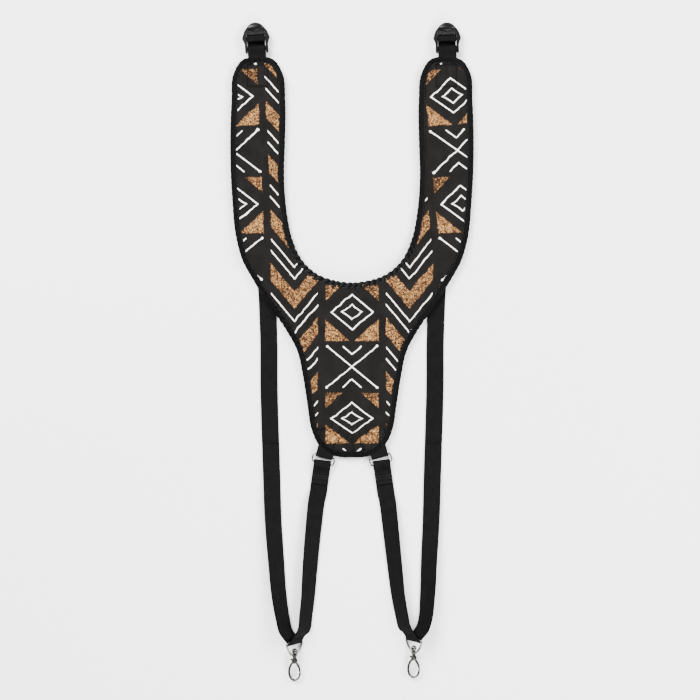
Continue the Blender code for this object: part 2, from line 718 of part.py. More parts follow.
def hook_body(side):
    """The hook: a forked boss under the swivel, and a wire round the eye to the nose."""
    frame = pivot_frame(side)
    around = [(-2.0, -2.4, 0), (-4.3, -5.6, 0), (-6.0, -10.4, 0), (-6.3, -15, 0), (-4.6, -20.4, 0),
              (0, -23.4, 0), (4.4, -20.9, 0), (6.25, -15.3, 0)]
    path = [p * MM for p in smooth_path(around, 3)]
    body = as_mesh(metal(f"{side}_hook_body", wire_curve(path, HOOK_WIRE), frame))
    boss = cylinder_mesh("boss", BOSS_R, -CHEEK[1], CHEEK[1])
    room = cylinder_mesh("room", KNUCKLE_ROOM, -CHEEK[0], CHEEK[0])
    ear_way = box_mesh("ear_way", (-6 * MM, -0.9 * MM, -CHEEK[0]), (-0.5 * MM, 4 * MM, CHEEK[0]))
    gate_way = box_mesh("gate_way", (-1.3 * MM, -4.5 * MM, -CHEEK[0]), (4.5 * MM, 0.3 * MM, CHEEK[0]))
    pin_hole = cylinder_mesh("pin_hole", PIN_R + GAP, -4 * MM, 4 * MM, sides=16)
    shape_with(body, "boss", boss, frame, "UNION")
    shape_with(body, "room", room, frame, "DIFFERENCE")
    shape_with(body, "ear_way", ear_way, frame, "DIFFERENCE")
    shape_with(body, "gate_way", gate_way, frame, "DIFFERENCE")
    shape_with(body, "pin_hole", pin_hole, frame, "DIFFERENCE")


def gate(side):
    """The sprung gate: a thumb ear and a knuckle on the pin, and an arm down to the nose."""
    frame = pivot_frame(side)
    lever = [(-1.6, 1.3), (-4.2, 2.3), (-5.0, 1.5), (-4.5, 0.4), (-1.9, -0.4), (-1.3, -1.5), (-0.2, -2.0),
             (1.5, -4.2), (3.1, -3.4), (2.0, -0.4), (1.6, 1.2), (0, 2.0)]
    levelled = frame @ Matrix.Translation((0, 0, (KNUCKLE[0] + KNUCKLE[1]) / 2))
    outline = [(x * MM, y * MM) for x, y in lever]
    made = as_mesh(metal(f"{side}_gate", plate_curve([outline], KNUCKLE[1] - KNUCKLE[0]), levelled))
    arm = [(2.1, -2.9, 0), (3.9, -5.9, 0), (5.6, -10, 0), (6.2, -13.9, 0)]
    path = [p * MM for p in smooth_path(arm, 3)]
    curve = wire_curve(path, HOOK_WIRE)
    for number, point in enumerate(curve.splines[0].points):
        point.radius = 1 - 0.3 * number / (len(path) - 1)
    wire = guide(f"{side}_gate_wire", curve)
    wire.matrix_world = frame
    combine(made, as_mesh(wire), "UNION")
    bpy.data.objects[f"{side}_gate_wire"].hide_render = True
    bpy.data.objects[f"{side}_gate_wire"].display_type = "WIRE"
    pin_hole = cylinder_mesh("pin_hole", PIN_R + GAP, -4 * MM, 4 * MM, sides=16)
    shape_with(made, "pin_hole", pin_hole, frame, "DIFFERENCE")


def gate_pin(side):
    """The pin through the boss that the gate turns on."""
    length = CHEEK[1] + 0.2 * MM
    pin = cylinder_mesh("pin", PIN_R, -length, length, sides=16)
    metal(f"{side}_gate_pin", pin, pivot_frame(side), 0.35)


def gate_spring(side):
    """The small coil round the pin that closes the gate."""
    low = KNUCKLE[1] + GAP + SPRING_WIRE
    rise = CHEEK[0] - GAP - SPRING_WIRE - low
    count = int(SPRING_TURNS * 12)
    coil = []
    for i in range(count + 1):
        angle = 2 * math.pi * i / 12
        coil.append((SPRING_R * math.cos(angle), SPRING_R * math.sin(angle), low + rise * i / count))
    spring = as_mesh(metal(f"{side}_gate_spring", wire_curve(coil, SPRING_WIRE), pivot_frame(side), 0.35))
    spring.modifiers.new("flat_faces", "TRIANGULATE")


def main():
    start()
    yoke()
    section = profile(strap_section())
    for side in SIDES:
        buckle_tab(side)
        ring_tab(side)
        ladder_lock(side)
        strap_thread(side)
        upper_strap(side, section)
        strap_free(side)
        hook_fold(side)
        ring(side)
        hook_loop(side)
        swivel_post(side)
        hook_body(side)
        gate(side)
        gate_pin(side)
        gate_spring(side)


main()
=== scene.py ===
"""The looks of a padded saxophone shoulder harness.

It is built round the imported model's bodies, in metres: +X across, +Y towards the buckles, +Z up.
"""

import math

import bpy
import numpy as np
from mathutils import Matrix, Vector, noise


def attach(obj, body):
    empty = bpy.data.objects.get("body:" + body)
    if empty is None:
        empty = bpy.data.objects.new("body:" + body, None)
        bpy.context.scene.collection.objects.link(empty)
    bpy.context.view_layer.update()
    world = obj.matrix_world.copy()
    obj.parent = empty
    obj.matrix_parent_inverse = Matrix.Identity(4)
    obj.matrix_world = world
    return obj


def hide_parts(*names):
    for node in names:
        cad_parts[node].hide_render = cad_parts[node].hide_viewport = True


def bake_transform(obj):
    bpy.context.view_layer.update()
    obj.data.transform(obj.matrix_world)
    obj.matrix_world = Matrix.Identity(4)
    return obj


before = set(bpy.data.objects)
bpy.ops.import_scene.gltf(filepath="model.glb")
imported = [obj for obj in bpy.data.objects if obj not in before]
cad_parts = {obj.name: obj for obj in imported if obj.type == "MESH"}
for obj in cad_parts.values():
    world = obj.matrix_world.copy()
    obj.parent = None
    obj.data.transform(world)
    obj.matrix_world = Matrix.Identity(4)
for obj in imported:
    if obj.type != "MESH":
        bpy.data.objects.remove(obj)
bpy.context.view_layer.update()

MM = 0.001
SIDES = {
    "left": {"sign": -1, "buckle_turn": math.radians(4.0), "fold": (-66.0 * MM, -333.0 * MM)},
    "right": {"sign": 1, "buckle_turn": math.radians(1.5), "fold": (71.0 * MM, -329.6 * MM)},
}

# The yoke's outline and layers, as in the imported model.
YOKE_EDGE = [
    (0, -121.5), (19, -120), (31, -114), (40, -104.5), (46.5, -90), (51.6, -60), (57, -26), (63.5, 2),
    (76, 25), (95, 53), (114, 83), (126.5, 106), (133, 129), (138, 175), (140.3, 232), (138.8, 290),
    (136.5, 320), (127, 335.5), (109.5, 340), (90, 336.5), (79.5, 320), (76.5, 290), (76.8, 240),
    (77.8, 200), (75, 163), (68, 129), (57, 106), (40, 90.5), (18, 82.5), (0, 80.5),
]
PAD_MIDDLE = 5.7 * MM
SHEET_RISE = 1.35 * MM
CROWN = 3.1 * MM
LINING_CROWN = 0.45
RIM = 2.6 * MM
PANEL_GRID = 1.15 * MM
LINING_GRID = 2.0 * MM
GRID_X = (-0.1408, 0.1409)
GRID_Y = (-0.1216, 0.3409)
NEAREST_CHUNK = 4000

# The seam that holds each buckle tab: its middle and half its size.
TAB_SEAM = (0.1085, 0.3175)
TAB_SEAM_HALF = (0.0115, 0.0125)

# Webbing.
WEB_WIDTH = 20.0 * MM
WEB = 1.4 * MM
TAB_DEPTH = 30.0 * MM
PRESSED = 1.05
EDGE_LIFT = 1.2 * MM

# Ladder lock.
BUCKLE = (109.6 * MM, 348.5 * MM, 6.2 * MM)
MIDDLE_BAR = (10.1 * MM, 13.7 * MM)
TOOTH_BAR = 16.0 * MM
PLATE_HALF = 1.8 * MM
WEB_OFFSET = 1.0 * MM
LOAD_LEG = 1.9 * MM
STOP_FOLD = 22.0 * MM
ANCHOR_LOOP = 3.5 * MM

# Ring, with x along its bars, and the strap folded round its lower bar.
RING = (33.0 * MM, -123.8 * MM)
RING_TURN = math.radians(15)
RING_WIRE = 1.0 * MM
RING_SPACING = 9.0 * MM
RING_HALF = 12.7 * MM
RING_CORNER = 3.0 * MM
RING_LOOP = 2.0 * MM
RING_Z = 4.4 * MM
RING_FOLD = 26.0 * MM
RING_SEAMS = (14.5 * MM, 17.0 * MM, 22.5 * MM)
TAB_EXIT = 8.2 * MM
STRAP_TURN = math.radians(8)
LOOP_SLACK = 1.3 * MM

# Snap hook, along its own axis from the D loop's bar.
HOOK_DIP = math.radians(8.5)
HOOK_BANK = math.radians(45)
HOOK_Z = 10.2 * MM
D_WIRE = 1.2 * MM
D_BALL = 10.7 * MM
BALL_R = 3.4 * MM
COLLAR = (14.4 * MM, 16.8 * MM)
PIVOT = 21.9 * MM
BOSS_R = 3.2 * MM
CHEEK = (1.7 * MM, 2.7 * MM)
KNUCKLE = (-1.4 * MM, 0.2 * MM)
EYE_WIRE = 1.61 * MM
EYE_TAPER = 0.75
GATE_WIRE = 1.495 * MM
GATE_TAPER = 0.65
FOLD_R = D_WIRE + 0.3 * MM + WEB / 2
FOLD_LEG = 4.0 * MM
FOLD_SLANT = 0.84
FOLD_BLEND = 16.0 * MM
FOLD_MIDDLE = 69.0 * MM
SPREAD_END = -311.0
NEAR_FOLD = (10.2 * MM, 12.5 * MM, 9.4 * MM)

# Where the strap bends: at the ladder lock along the buckle frame's Y, and beside the ring along its -Y.
# The bend past the tongue takes the last BEND_POINTS points of the run under the arm.
BEND_AT_RING = (-24 * MM, -2 * MM)
BEND_MARGIN = 1.3 * MM
BEND_POINTS = 5

# The print: columns of diamonds and columns of chevrons, in millimetres on the cloth.
COLUMN_PERIOD = 132.2
ROW_PERIOD = 124.0
DIAMOND_Y = 46.0
CROSS_Y = -17.0
CHEVRON_X = 66.1
CHEVRON_PERIOD = 62.0
CHEVRON_TOP = 69.6


# ---- node expressions

class Value:
    """A number in a material's node tree, which ordinary arithmetic extends with Math nodes."""

    def __init__(self, tree, socket):
        self.tree = tree
        self.socket = socket

    def math(self, operation, *others, clamp=False):
        node = self.tree.nodes.new("ShaderNodeMath")
        node.operation = operation
        node.use_clamp = clamp
        for slot, value in enumerate((self, *others)):
            if isinstance(value, Value):
                self.tree.links.new(value.socket, node.inputs[slot])
            else:
                node.inputs[slot].default_value = value
        return Value(self.tree, node.outputs[0])

    def __add__(self, other):
        return self.math("ADD", other)

    def __sub__(self, other):
        return self.math("SUBTRACT", other)

    def __mul__(self, other):
        return self.math("MULTIPLY", other)

    def __truediv__(self, other):
        return self.math("DIVIDE", other)

    def abs(self):
        return self.math("ABSOLUTE")

    def min(self, other):
        return self.math("MINIMUM", other)

    def max(self, other):
        return self.math("MAXIMUM", other)

    def wrap(self, low, high):
        return self.math("WRAP", high, low)

    def sine(self):
        return self.math("SINE")

    def root(self):
        return self.math("SQRT")

    def power(self, exponent):
        return self.math("POWER", exponent)

    def clamp(self):
        return self.math("ADD", 0.0, clamp=True)

    def ramp(self, low, high, start=0.0, end=1.0):
        """Goes smoothly from start to end while this value goes from low to high."""
        node = self.tree.nodes.new("ShaderNodeMapRange")
        node.interpolation_type = "SMOOTHSTEP"
        self.tree.links.new(self.socket, node.inputs["Value"])
        for name, value in (("From Min", low), ("From Max", high), ("To Min", start), ("To Max", end)):
            node.inputs[name].default_value = value
        return Value(self.tree, node.outputs[0])


class Look:
    """One Principled material and the helpers that fill its node tree."""

    def __init__(self, name, roughness=0.8, metallic=0.0, **sockets):
        self.material = bpy.data.materials.new(name)
        self.material.use_nodes = True
        self.tree = self.material.node_tree
        self.shader = self.tree.nodes["Principled BSDF"]
        self.shader.inputs["Roughness"].default_value = roughness
        self.shader.inputs["Metallic"].default_value = metallic
        for socket, value in sockets.items():
            self.shader.inputs[socket.replace("_", " ")].default_value = value

    def vector(self, attribute=None):
        """The named point attribute, or the object's own coordinates, as a vector socket."""
        if attribute is None:
            return self.tree.nodes.new("ShaderNodeTexCoord").outputs["Object"]
        node = self.tree.nodes.new("ShaderNodeAttribute")
        node.attribute_name = attribute
        return node.outputs["Vector"]

    def split(self, socket):
        node = self.tree.nodes.new("ShaderNodeSeparateXYZ")
        self.tree.links.new(socket, node.inputs[0])
        return [Value(self.tree, output) for output in node.outputs]

    def noise(self, socket, scale, detail=2.0, roughness=0.5):
        node = self.tree.nodes.new("ShaderNodeTexNoise")
        self.tree.links.new(socket, node.inputs["Vector"])
        node.inputs["Scale"].default_value = scale
        node.inputs["Detail"].default_value = detail
        node.inputs["Roughness"].default_value = roughness
        return Value(self.tree, node.outputs["Fac"])

    def colours(self, value, stops):
        """A colour ramp over a value; stops are (position, (r, g, b))."""
        node = self.tree.nodes.new("ShaderNodeValToRGB")
        self.tree.links.new(value.socket, node.inputs["Fac"])
        elements = node.color_ramp.elements
        while len(elements) < len(stops):
            elements.new(0.5)
        for element, (position, colour) in zip(elements, stops):
            element.position = position
            element.color = (*colour, 1)
        return node.outputs["Color"]

    def mix(self, share, first, second):
        """Colour first where share is 0 and second where it is 1."""
        node = self.tree.nodes.new("ShaderNodeMix")
        node.data_type = "RGBA"
        self.tree.links.new(share.socket, node.inputs["Factor"])
        for slot, colour in (("A", first), ("B", second)):
            target = [i for i in node.inputs if i.name == slot and i.type == "RGBA"][0]
            if isinstance(colour, tuple):
                target.default_value = (*colour, 1)
            else:
                self.tree.links.new(colour, target)
        return [o for o in node.outputs if o.type == "RGBA"][0]

    def between(self, value, dark, light):
        """A colour that goes from dark to light with a noise value."""
        return self.colours(value, [(0.3, dark), (0.7, light)])

    def colour(self, socket):
        self.tree.links.new(socket, self.shader.inputs["Base Color"])

    def roughness(self, value):
        self.tree.links.new(value.socket, self.shader.inputs["Roughness"])

    def bump(self, height, distance, strength=1.0):
        node = self.tree.nodes.new("ShaderNodeBump")
        node.inputs["Strength"].default_value = strength
        node.inputs["Distance"].default_value = distance
        self.tree.links.new(height.socket, node.inputs["Height"])
        previous = self.shader.inputs["Normal"].links
        if previous:
            self.tree.links.new(previous[0].from_socket, node.inputs["Normal"])
        self.tree.links.new(node.outputs["Normal"], self.shader.inputs["Normal"])


def segment_distance(x, y, start, end):
    """Distance from (x, y) to the straight stroke from start to end."""
    along = (end[0] - start[0], end[1] - start[1])
    square = along[0] ** 2 + along[1] ** 2
    px, py = x - start[0], y - start[1]
    t = ((px * along[0] + py * along[1]) / square).clamp()
    dx, dy = px - t * along[0], py - t * along[1]
    return (dx * dx + dy * dy).root()


# ---- materials

def weave_bump(look, x, y, pitch, distance):
    """A plain weave's over and under, from two crossed waves."""
    turn = 2 * math.pi / pitch
    look.bump((x * turn).sine() * (y * turn).sine(), distance)


def diamond_column(x, y, cross_y):
    """White strokes and brown triangles of a diamond column, as (distance to stroke, brown mask)."""
    ax, ay, cy = x.abs(), y.abs(), cross_y.abs()
    outer = ((ax / 24.2 + ay / 20.0) - 1).abs() * 15.4
    inner = (((ax / 11.9).power(0.86) + (ay / 8.8).power(0.86)) - 1).abs() * 7.6
    cross = segment_distance(ax, cy, (0, 0), (29.0, 24.0))
    blob = segment_distance(ax, cy, (28.6, 23.6), (29.0, 24.0)) - 0.6
    tick = segment_distance(ax, cy, (0, 14.4), (10.3, 23.4))
    strokes = outer.min(inner).min(cross).min(blob).min(tick)
    side = ax * -1 + 30.5
    upper = (side / 19.5 + (y * -1 + 31.0) / 17.8) * -1 + 1
    lower = (side / 27.6 + (y + 33.4) / 24.8) * -1 + 1
    upper = (upper * 12).min(side).min(y * -1 + 31.0)
    lower = (lower * 16).min(side).min(y + 33.4)
    return strokes, upper, lower


def chevron_column(x, y):
    """White strokes and the brown band of a chevron column."""
    ax = x.abs()
    q = (y * -1 + CHEVRON_TOP + ax * 1.2).wrap(0, CHEVRON_PERIOD)
    white = (q - 34.3).abs().min((q - 47.4).abs()) * 0.66
    white = white.max(ax - 26.0)
    band = (q.min(q * -1 + 20.0) * 0.66).min(ax * -1 + 27.0)
    return white, band


def print_look():
    """Charcoal cotton with white strokes and mottled brown patches, and painted shade in its folds."""
    look = Look("print_cotton", roughness=0.8, Specular_IOR_Level=0.04)
    cloth = look.vector("cloth")
    raw_x, raw_y, _ = look.split(cloth)
    wobble = look.noise(cloth, 0.09, 1.0) - 0.5
    jitter = look.noise(cloth, 0.5, 2.0) - 0.5
    x = raw_x + wobble * 3.0 + jitter * 0.7
    y = raw_y + wobble * -2.2 + jitter * 0.7
    half = COLUMN_PERIOD / 2
    ax = x.wrap(-half, half)
    bx = (x - CHEVRON_X).wrap(-half, half)
    diamond_y = (y - DIAMOND_Y).wrap(-ROW_PERIOD / 2, ROW_PERIOD / 2)
    cross_y = (y - CROSS_Y).wrap(-ROW_PERIOD / 2, ROW_PERIOD / 2)
    strokes, upper, lower = diamond_column(ax, diamond_y, cross_y)
    chevrons, band = chevron_column(bx, y)
    in_diamonds = (ax.abs() - 32.5).math("LESS_THAN", 0.0)
    strokes = strokes + (in_diamonds * -1 + 1) * 50
    width = jitter * 0.5 + 0.6
    white = (strokes.min(chevrons) - width).ramp(-0.15, 0.25, 1.0, 0.0)
    ragged = look.noise(cloth, 0.9, 3.0) - 0.5
    brown = (upper.max(lower).max(band) + ragged * 2.2).ramp(-0.25, 0.35)
    speckle = (look.noise(cloth, 0.55, 4.0, 0.8) - 0.5) * 3.6 + 0.5
    patch = look.noise(cloth, 0.16, 2.0) - 0.5
    lit = (upper.ramp(-0.2, 1.0, 0.0, -0.09) + lower.ramp(-0.2, 3.0, 0.0, 0.07))
    tone = speckle + patch * 0.7 + lit
    tan = look.colours(tone, [(0.22, (0.008, 0.005, 0.004)), (0.44, (0.046, 0.021, 0.011)),
                              (0.62, (0.150, 0.070, 0.026)), (0.90, (0.44, 0.235, 0.085))])
    fade = look.noise(cloth, 0.05, 2.0)
    ground = look.between(fade, (0.0048, 0.0044, 0.0042), (0.0075, 0.0068, 0.0064))
    thread = look.noise(cloth, 3.0, 2.0)
    chalk = look.between(thread, (0.86, 0.85, 0.83), (0.97, 0.96, 0.94))
    printed = look.mix(white, look.mix(brown, ground, tan), chalk)
    # Painted shade: the cloth is darkened towards near black by the depth of its folds.
    fold = look.split(look.vector("fold"))[0]
    look.colour(look.mix(fold * 0.8, printed, (0.0012, 0.0011, 0.0011)))
    weave_bump(look, raw_x, raw_y, 0.55, 0.00006)
    look.bump(look.noise(cloth, 0.22, 3.0), 0.0005, 0.6)
    return look.material


def lining_look():
    """Black matt cloth under the yoke."""
    look = Look("lining_cloth", roughness=0.92, Specular_IOR_Level=0.1)
    cloth = look.vector("cloth")
    x, y, _ = look.split(cloth)
    fade = look.noise(cloth, 0.06, 3.0)
    look.colour(look.between(fade, (0.0040, 0.0040, 0.0043), (0.0075, 0.0075, 0.0080)))
    weave_bump(look, x, y, 0.8, 0.00012)
    return look.material


def tape_look():
    """Black folded binding with a slight sheen and a fine twill."""
    look = Look("binding_tape", roughness=0.4, Specular_IOR_Level=0.035)
    tape = look.vector("tape")
    along, across, ridge = look.split(tape)
    worn = look.noise(tape, 0.3, 3.0)
    lit = ridge.ramp(0.35, 1.0) * 0.7 + worn * 0.4
    look.colour(look.colours(lit, [(0.15, (0.0006, 0.0006, 0.0007)), (0.95, (0.0085, 0.0085, 0.0090))]))
    look.roughness(worn * 0.25 + 0.38)
    look.bump(((along + across * 0.8) * (2 * math.pi / 0.7)).sine(), 0.00008, 0.7)
    look.bump(look.noise(tape, 0.5, 3.0), 0.0004, 0.6)
    return look.material


def webbing_look():
    """Black ribbed webbing: fine cross ribs, two selvedges, painted highlights on the high spots."""
    look = Look("ribbed_webbing", roughness=0.65, Specular_IOR_Level=0.035)
    web = look.vector("web")
    along, across, _ = look.split(web)
    rib = ((along * (2 * math.pi / 0.85)).sine() + 1) * 0.5
    pair = ((across * (2 * math.pi / 1.3)).sine() + 1) * 0.5
    selvedge = across.abs().ramp(8.6, 9.4)
    fade = look.noise(web, 0.12, 3.0)
    # Painted highlight: the ribs' and the cross weave's high spots are lighter and their hollows darker;
    # the fade is random and the selvedges are darker.
    tone = rib * 0.35 + pair * 0.15 + fade * 0.6 - selvedge * 0.2
    look.colour(look.colours(tone, [(0.2, (0.0008, 0.0008, 0.0009)), (0.8, (0.0040, 0.0039, 0.0038))]))
    look.bump(rib * 0.8 + pair * 0.35, 0.00022, 0.8)
    look.bump(look.noise(web, 1.5, 2.0), 0.0001, 0.5)
    return look.material


def thread_look():
    """Black polyester sewing thread."""
    look = Look("sewing_thread", roughness=0.5, Specular_IOR_Level=0.3)
    place = look.vector()
    twist = look.noise(place, 900.0, 2.0)
    look.colour(look.between(twist, (0.0010, 0.0010, 0.0011), (0.0035, 0.0034, 0.0033)))
    look.bump(twist, 0.00005)
    return look.material


def plastic_look():
    """Glossy moulded black plastic with a faint grain."""
    look = Look("moulded_plastic", roughness=0.3, Specular_IOR_Level=0.16)
    place = look.vector()
    grain = look.noise(place, 260.0, 3.0)
    cloud = look.noise(place, 60.0, 2.0)
    look.colour(look.between(cloud, (0.0016, 0.0016, 0.0018), (0.0034, 0.0034, 0.0037)))
    look.roughness(grain * 0.16 + 0.22)
    look.bump(grain, 0.00002, 0.4)
    return look.material


def nickel_look(name, roughness, dull, bright):
    """Nickel plate with fine scratches and slight tarnish."""
    look = Look(name, roughness=roughness, metallic=1.0)
    place = look.vector()
    cloud = look.noise(place, 240.0, 3.0)
    look.colour(look.between(cloud, (dull, dull, dull * 0.95), (bright, bright, bright * 0.95)))
    look.roughness(look.noise(place, 420.0, 3.0) * 0.18 + roughness - 0.06)
    look.bump(look.noise(place, 700.0, 2.0), 0.00002, 0.5)
    return look.material


# ---- geometry helpers

def smooth_path(points, steps, closed=False):
    """Points on a smooth curve through the given ones, with a number of steps between each two."""
    points = [Vector(p) for p in points]
    count = len(points)
    spans = [(points[(i + 1) % count].xyz - points[i].xyz).length for i in range(count)]
    slopes = [(points[(i + 1) % count] - points[i]) / max(spans[i], 0.0003) for i in range(count)]
    tangents = [(slopes[i - 1] * spans[i] + slopes[i] * spans[i - 1]) / (spans[i - 1] + spans[i])
                for i in range(count)]
    if not closed:
        tangents[0], tangents[-1] = slopes[0], slopes[-2]
    path = []
    for i in range(count if closed else count - 1):
        b, c = points[i], points[(i + 1) % count]
        leaving, arriving = tangents[i] * spans[i], tangents[(i + 1) % count] * spans[i]
        for k in range(steps):
            t = k / steps
            path.append(b * (2 * t**3 - 3 * t**2 + 1) + leaving * (t**3 - 2 * t**2 + t)
                        + c * (3 * t**2 - 2 * t**3) + arriving * (t**3 - t**2))
    return path if closed else path + [points[-1]]


def evenly(points, pitch, closed=False):
    """The same line as an array, with points an even distance apart."""
    line = np.array([p[:] for p in points], float)
    if closed:
        line = np.vstack([line, line[:1]])
    steps = np.linalg.norm(np.diff(line[:, :3], axis=0), axis=1)
    length = np.concatenate([[0], np.cumsum(steps)])
    count = max(2, int(round(length[-1] / pitch)))
    at = np.linspace(0, length[-1], count + 1)
    if closed:
        at = at[:-1]
    return np.column_stack([np.interp(at, length, line[:, i]) for i in range(line.shape[1])]), at


def mesh_object(name, verts, faces, look):
    """A smooth-shaded mesh object in the scene's collection."""
    data = bpy.data.meshes.new(name)
    data.from_pydata([tuple(v) for v in verts], [], faces)
    data.validate()
    data.update()
    data.materials.append(look)
    data.shade_smooth()
    obj = bpy.data.objects.new(name, data)
    bpy.context.scene.collection.objects.link(obj)
    return obj


def attribute(obj, name, values):
    """Stores one vector a point for the material to read."""
    layer = obj.data.attributes.new(name, "FLOAT_VECTOR", "POINT")
    layer.data.foreach_set("vector", np.asarray(values, np.float32).ravel())


def tube_faces(rings, around, closed):
    """Quads between successive rings of a swept shape."""
    faces = []
    for i in range(rings if closed else rings - 1):
        j = (i + 1) % rings
        for k in range(around):
            m = (k + 1) % around
            faces.append((i * around + k, i * around + m, j * around + m, j * around + k))
    if not closed:
        faces.append(tuple(range(around)))
        faces.append(tuple((rings - 1) * around + k for k in reversed(range(around))))
    return faces


def ride(obj, body, slot, *nodes):
    """Hands a finished piece to its body and hides the nodes that it stands for; the slot is not used."""
    if nodes:
        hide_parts(*nodes)
    if body:
        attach(obj, body)
    return obj


def mm_points(points):
    """Flat (x, y) points in millimetres as vectors in metres."""
    return [Vector((x, y, 0)) * MM for x, y in points]


def place(x, y, z, turn):
    """A frame at a point, turned about +Z."""
    return Matrix.Translation((x, y, z)) @ Matrix.Rotation(turn, 4, "Z")


def buckle_frame(side):
    """Buckle frame: x across the webbing, y towards the thumb tab, origin on the anchor bar."""
    lay = SIDES[side]
    return place(lay["sign"] * BUCKLE[0], BUCKLE[1], BUCKLE[2], lay["buckle_turn"])


def ring_frame(side):
    """Ring frame: x along the bars, y from the strap towards the tongue."""
    sign = SIDES[side]["sign"]
    return place(sign * RING[0], RING[1], RING_Z, sign * RING_TURN)


def strap_frame(side):
    """Strap frame: x across the webbing, y towards the tongue, origin on the ring's lower bar."""
    x, y, z = ring_frame(side) @ Vector((0, -RING_SPACING / 2, 0))
    return place(x, y, z, SIDES[side]["sign"] * STRAP_TURN)


def hook_frame(side):
    """Hook frame: y away from the hook along its axis, from the D loop's bar."""
    x, y = SIDES[side]["fold"]
    return Matrix.Translation((x, y, HOOK_Z)) @ Matrix.Rotation(HOOK_DIP, 4, "X")


def loop_frame(side):
    """D loop frame: the hook frame rolled with the webbing."""
    return hook_frame(side) @ Matrix.Rotation(-SIDES[side]["sign"] * HOOK_BANK, 4, "Y")


def arc(centre, radius, first, last, count):
    """Points on a circle between two angles in degrees."""
    angles = [math.radians(first + (last - first) * i / count) for i in range(count + 1)]
    return [(centre[0] + radius * math.cos(a), centre[1] + radius * math.sin(a)) for a in angles]


# ---- yoke

def yoke_edge(pitch):
    """The yoke's edge as an even closed line, with its inward normals and its length so far."""
    half = [Vector((x * MM, y * MM, 0)) for x, y in YOKE_EDGE]
    other = [Vector((-p.x, p.y, 0)) for p in reversed(half[1:-1])]
    line, at = evenly(smooth_path(half + other, 8, closed=True), pitch, closed=True)
    along = np.roll(line, -1, axis=0) - np.roll(line, 1, axis=0)
    inwards = np.column_stack([-along[:, 1], along[:, 0]])
    inwards /= np.linalg.norm(inwards, axis=1)[:, None]
    return line[:, :2], inwards, at


def edge_distance(points):
    """How far inside the yoke's edge each point is, and where along the edge that is nearest."""
    line, inwards, at = yoke_edge(2.0 * MM)
    distance = np.empty(len(points))
    nearest = np.empty(len(points), int)
    for first in range(0, len(points), NEAREST_CHUNK):
        chunk = slice(first, first + NEAREST_CHUNK)
        gaps = np.linalg.norm(points[chunk, None, :] - line[None], axis=2)
        nearest[chunk] = gaps.argmin(axis=1)
        distance[chunk] = gaps.min(axis=1)
    side = ((points - line[nearest]) * inwards[nearest]).sum(axis=1)
    return np.where(side > 0, distance, -distance), at[nearest]


def cloth_coordinates(x, y):
    """Where each point lies on the printed cloth, in millimetres.

    The arms are cut slightly askew, and the cloth is gathered at the tongue's end.
    """
    x, y = x / MM, y / MM
    lean = np.where(x > 0, 0.09 * np.clip(y - 105, 0, None), 0.044 * np.clip(y - 157, 0, None))
    turn = np.where(x > 0, 0.08 * np.clip((y - 105) / 90, 0, 1), 0.04 * np.clip((y - 157) / 60, 0, 1))
    gathered = np.clip(0.22 * (-69 - y), 0, 6.5)
    return x + lean, y - gathered - turn * (np.abs(x) - 110) * np.sign(x)


def pucker(x, y):
    """How strongly the binding gathers the cloth: most round the neck."""
    neck = np.exp(-(((y - 0.085) / 0.05) ** 2)) * (np.abs(x) < 0.085)
    return 0.25 + 0.75 * neck


def low_noise(x, y, scale, seed):
    """Smooth noise at each point of the plane."""
    return np.array([noise.noise(Vector((a * scale, b * scale, seed))) for a, b in zip(x, y)])


def creases(x, y, inside):
    """Depth, from 0 to 1, of the folds over the buckle tabs, at the tongue's end and by the binding; it
    sinks the printed panel and sets the painted shade in its colour.
    """
    wander = low_noise(x, y, 60, 5)
    u = (np.abs(x) - TAB_SEAM[0]) / TAB_SEAM_HALF[0]
    v = (y - TAB_SEAM[1]) / TAB_SEAM_HALF[1]
    box = np.maximum(np.abs(u), np.abs(v))
    seam = np.exp(-(((box - 1) / 0.09) ** 2))
    pleats = np.clip(1 - 3.5 * np.abs(np.sin(math.pi * (u * 1.5 + 0.5 * wander))), 0, 1)
    pleats *= np.clip((y - 0.303) / 0.012, 0, 1) * np.clip(1.2 + low_noise(x, y, 90, 8) * 2, 0, 1)
    angle = np.arctan2(x, y + 0.068)
    rays = np.clip(1 - 2.6 * np.abs(np.sin(angle * 9 + 2.5 * wander)), 0, 1)
    rays *= np.clip((-0.078 - y) / 0.010, 0, 1)
    gathers = np.clip(1 - 3 * np.abs(np.sin(x * 420 + y * 260 + 5 * wander)), 0, 1)
    gathers *= np.exp(-np.clip(inside - 7 * MM, 0, None) / (4 * MM)) * (pucker(x, y) - 0.1)
    return np.clip(np.maximum.reduce([seam, pleats * 0.9, rays, gathers]), 0, 1)


def crown_height(inside):
    """Height of the padding above its edge."""
    depth = np.clip(inside - 5 * MM, 0, None)
    return CROWN * (1 - np.exp(-depth / (7 * MM)))


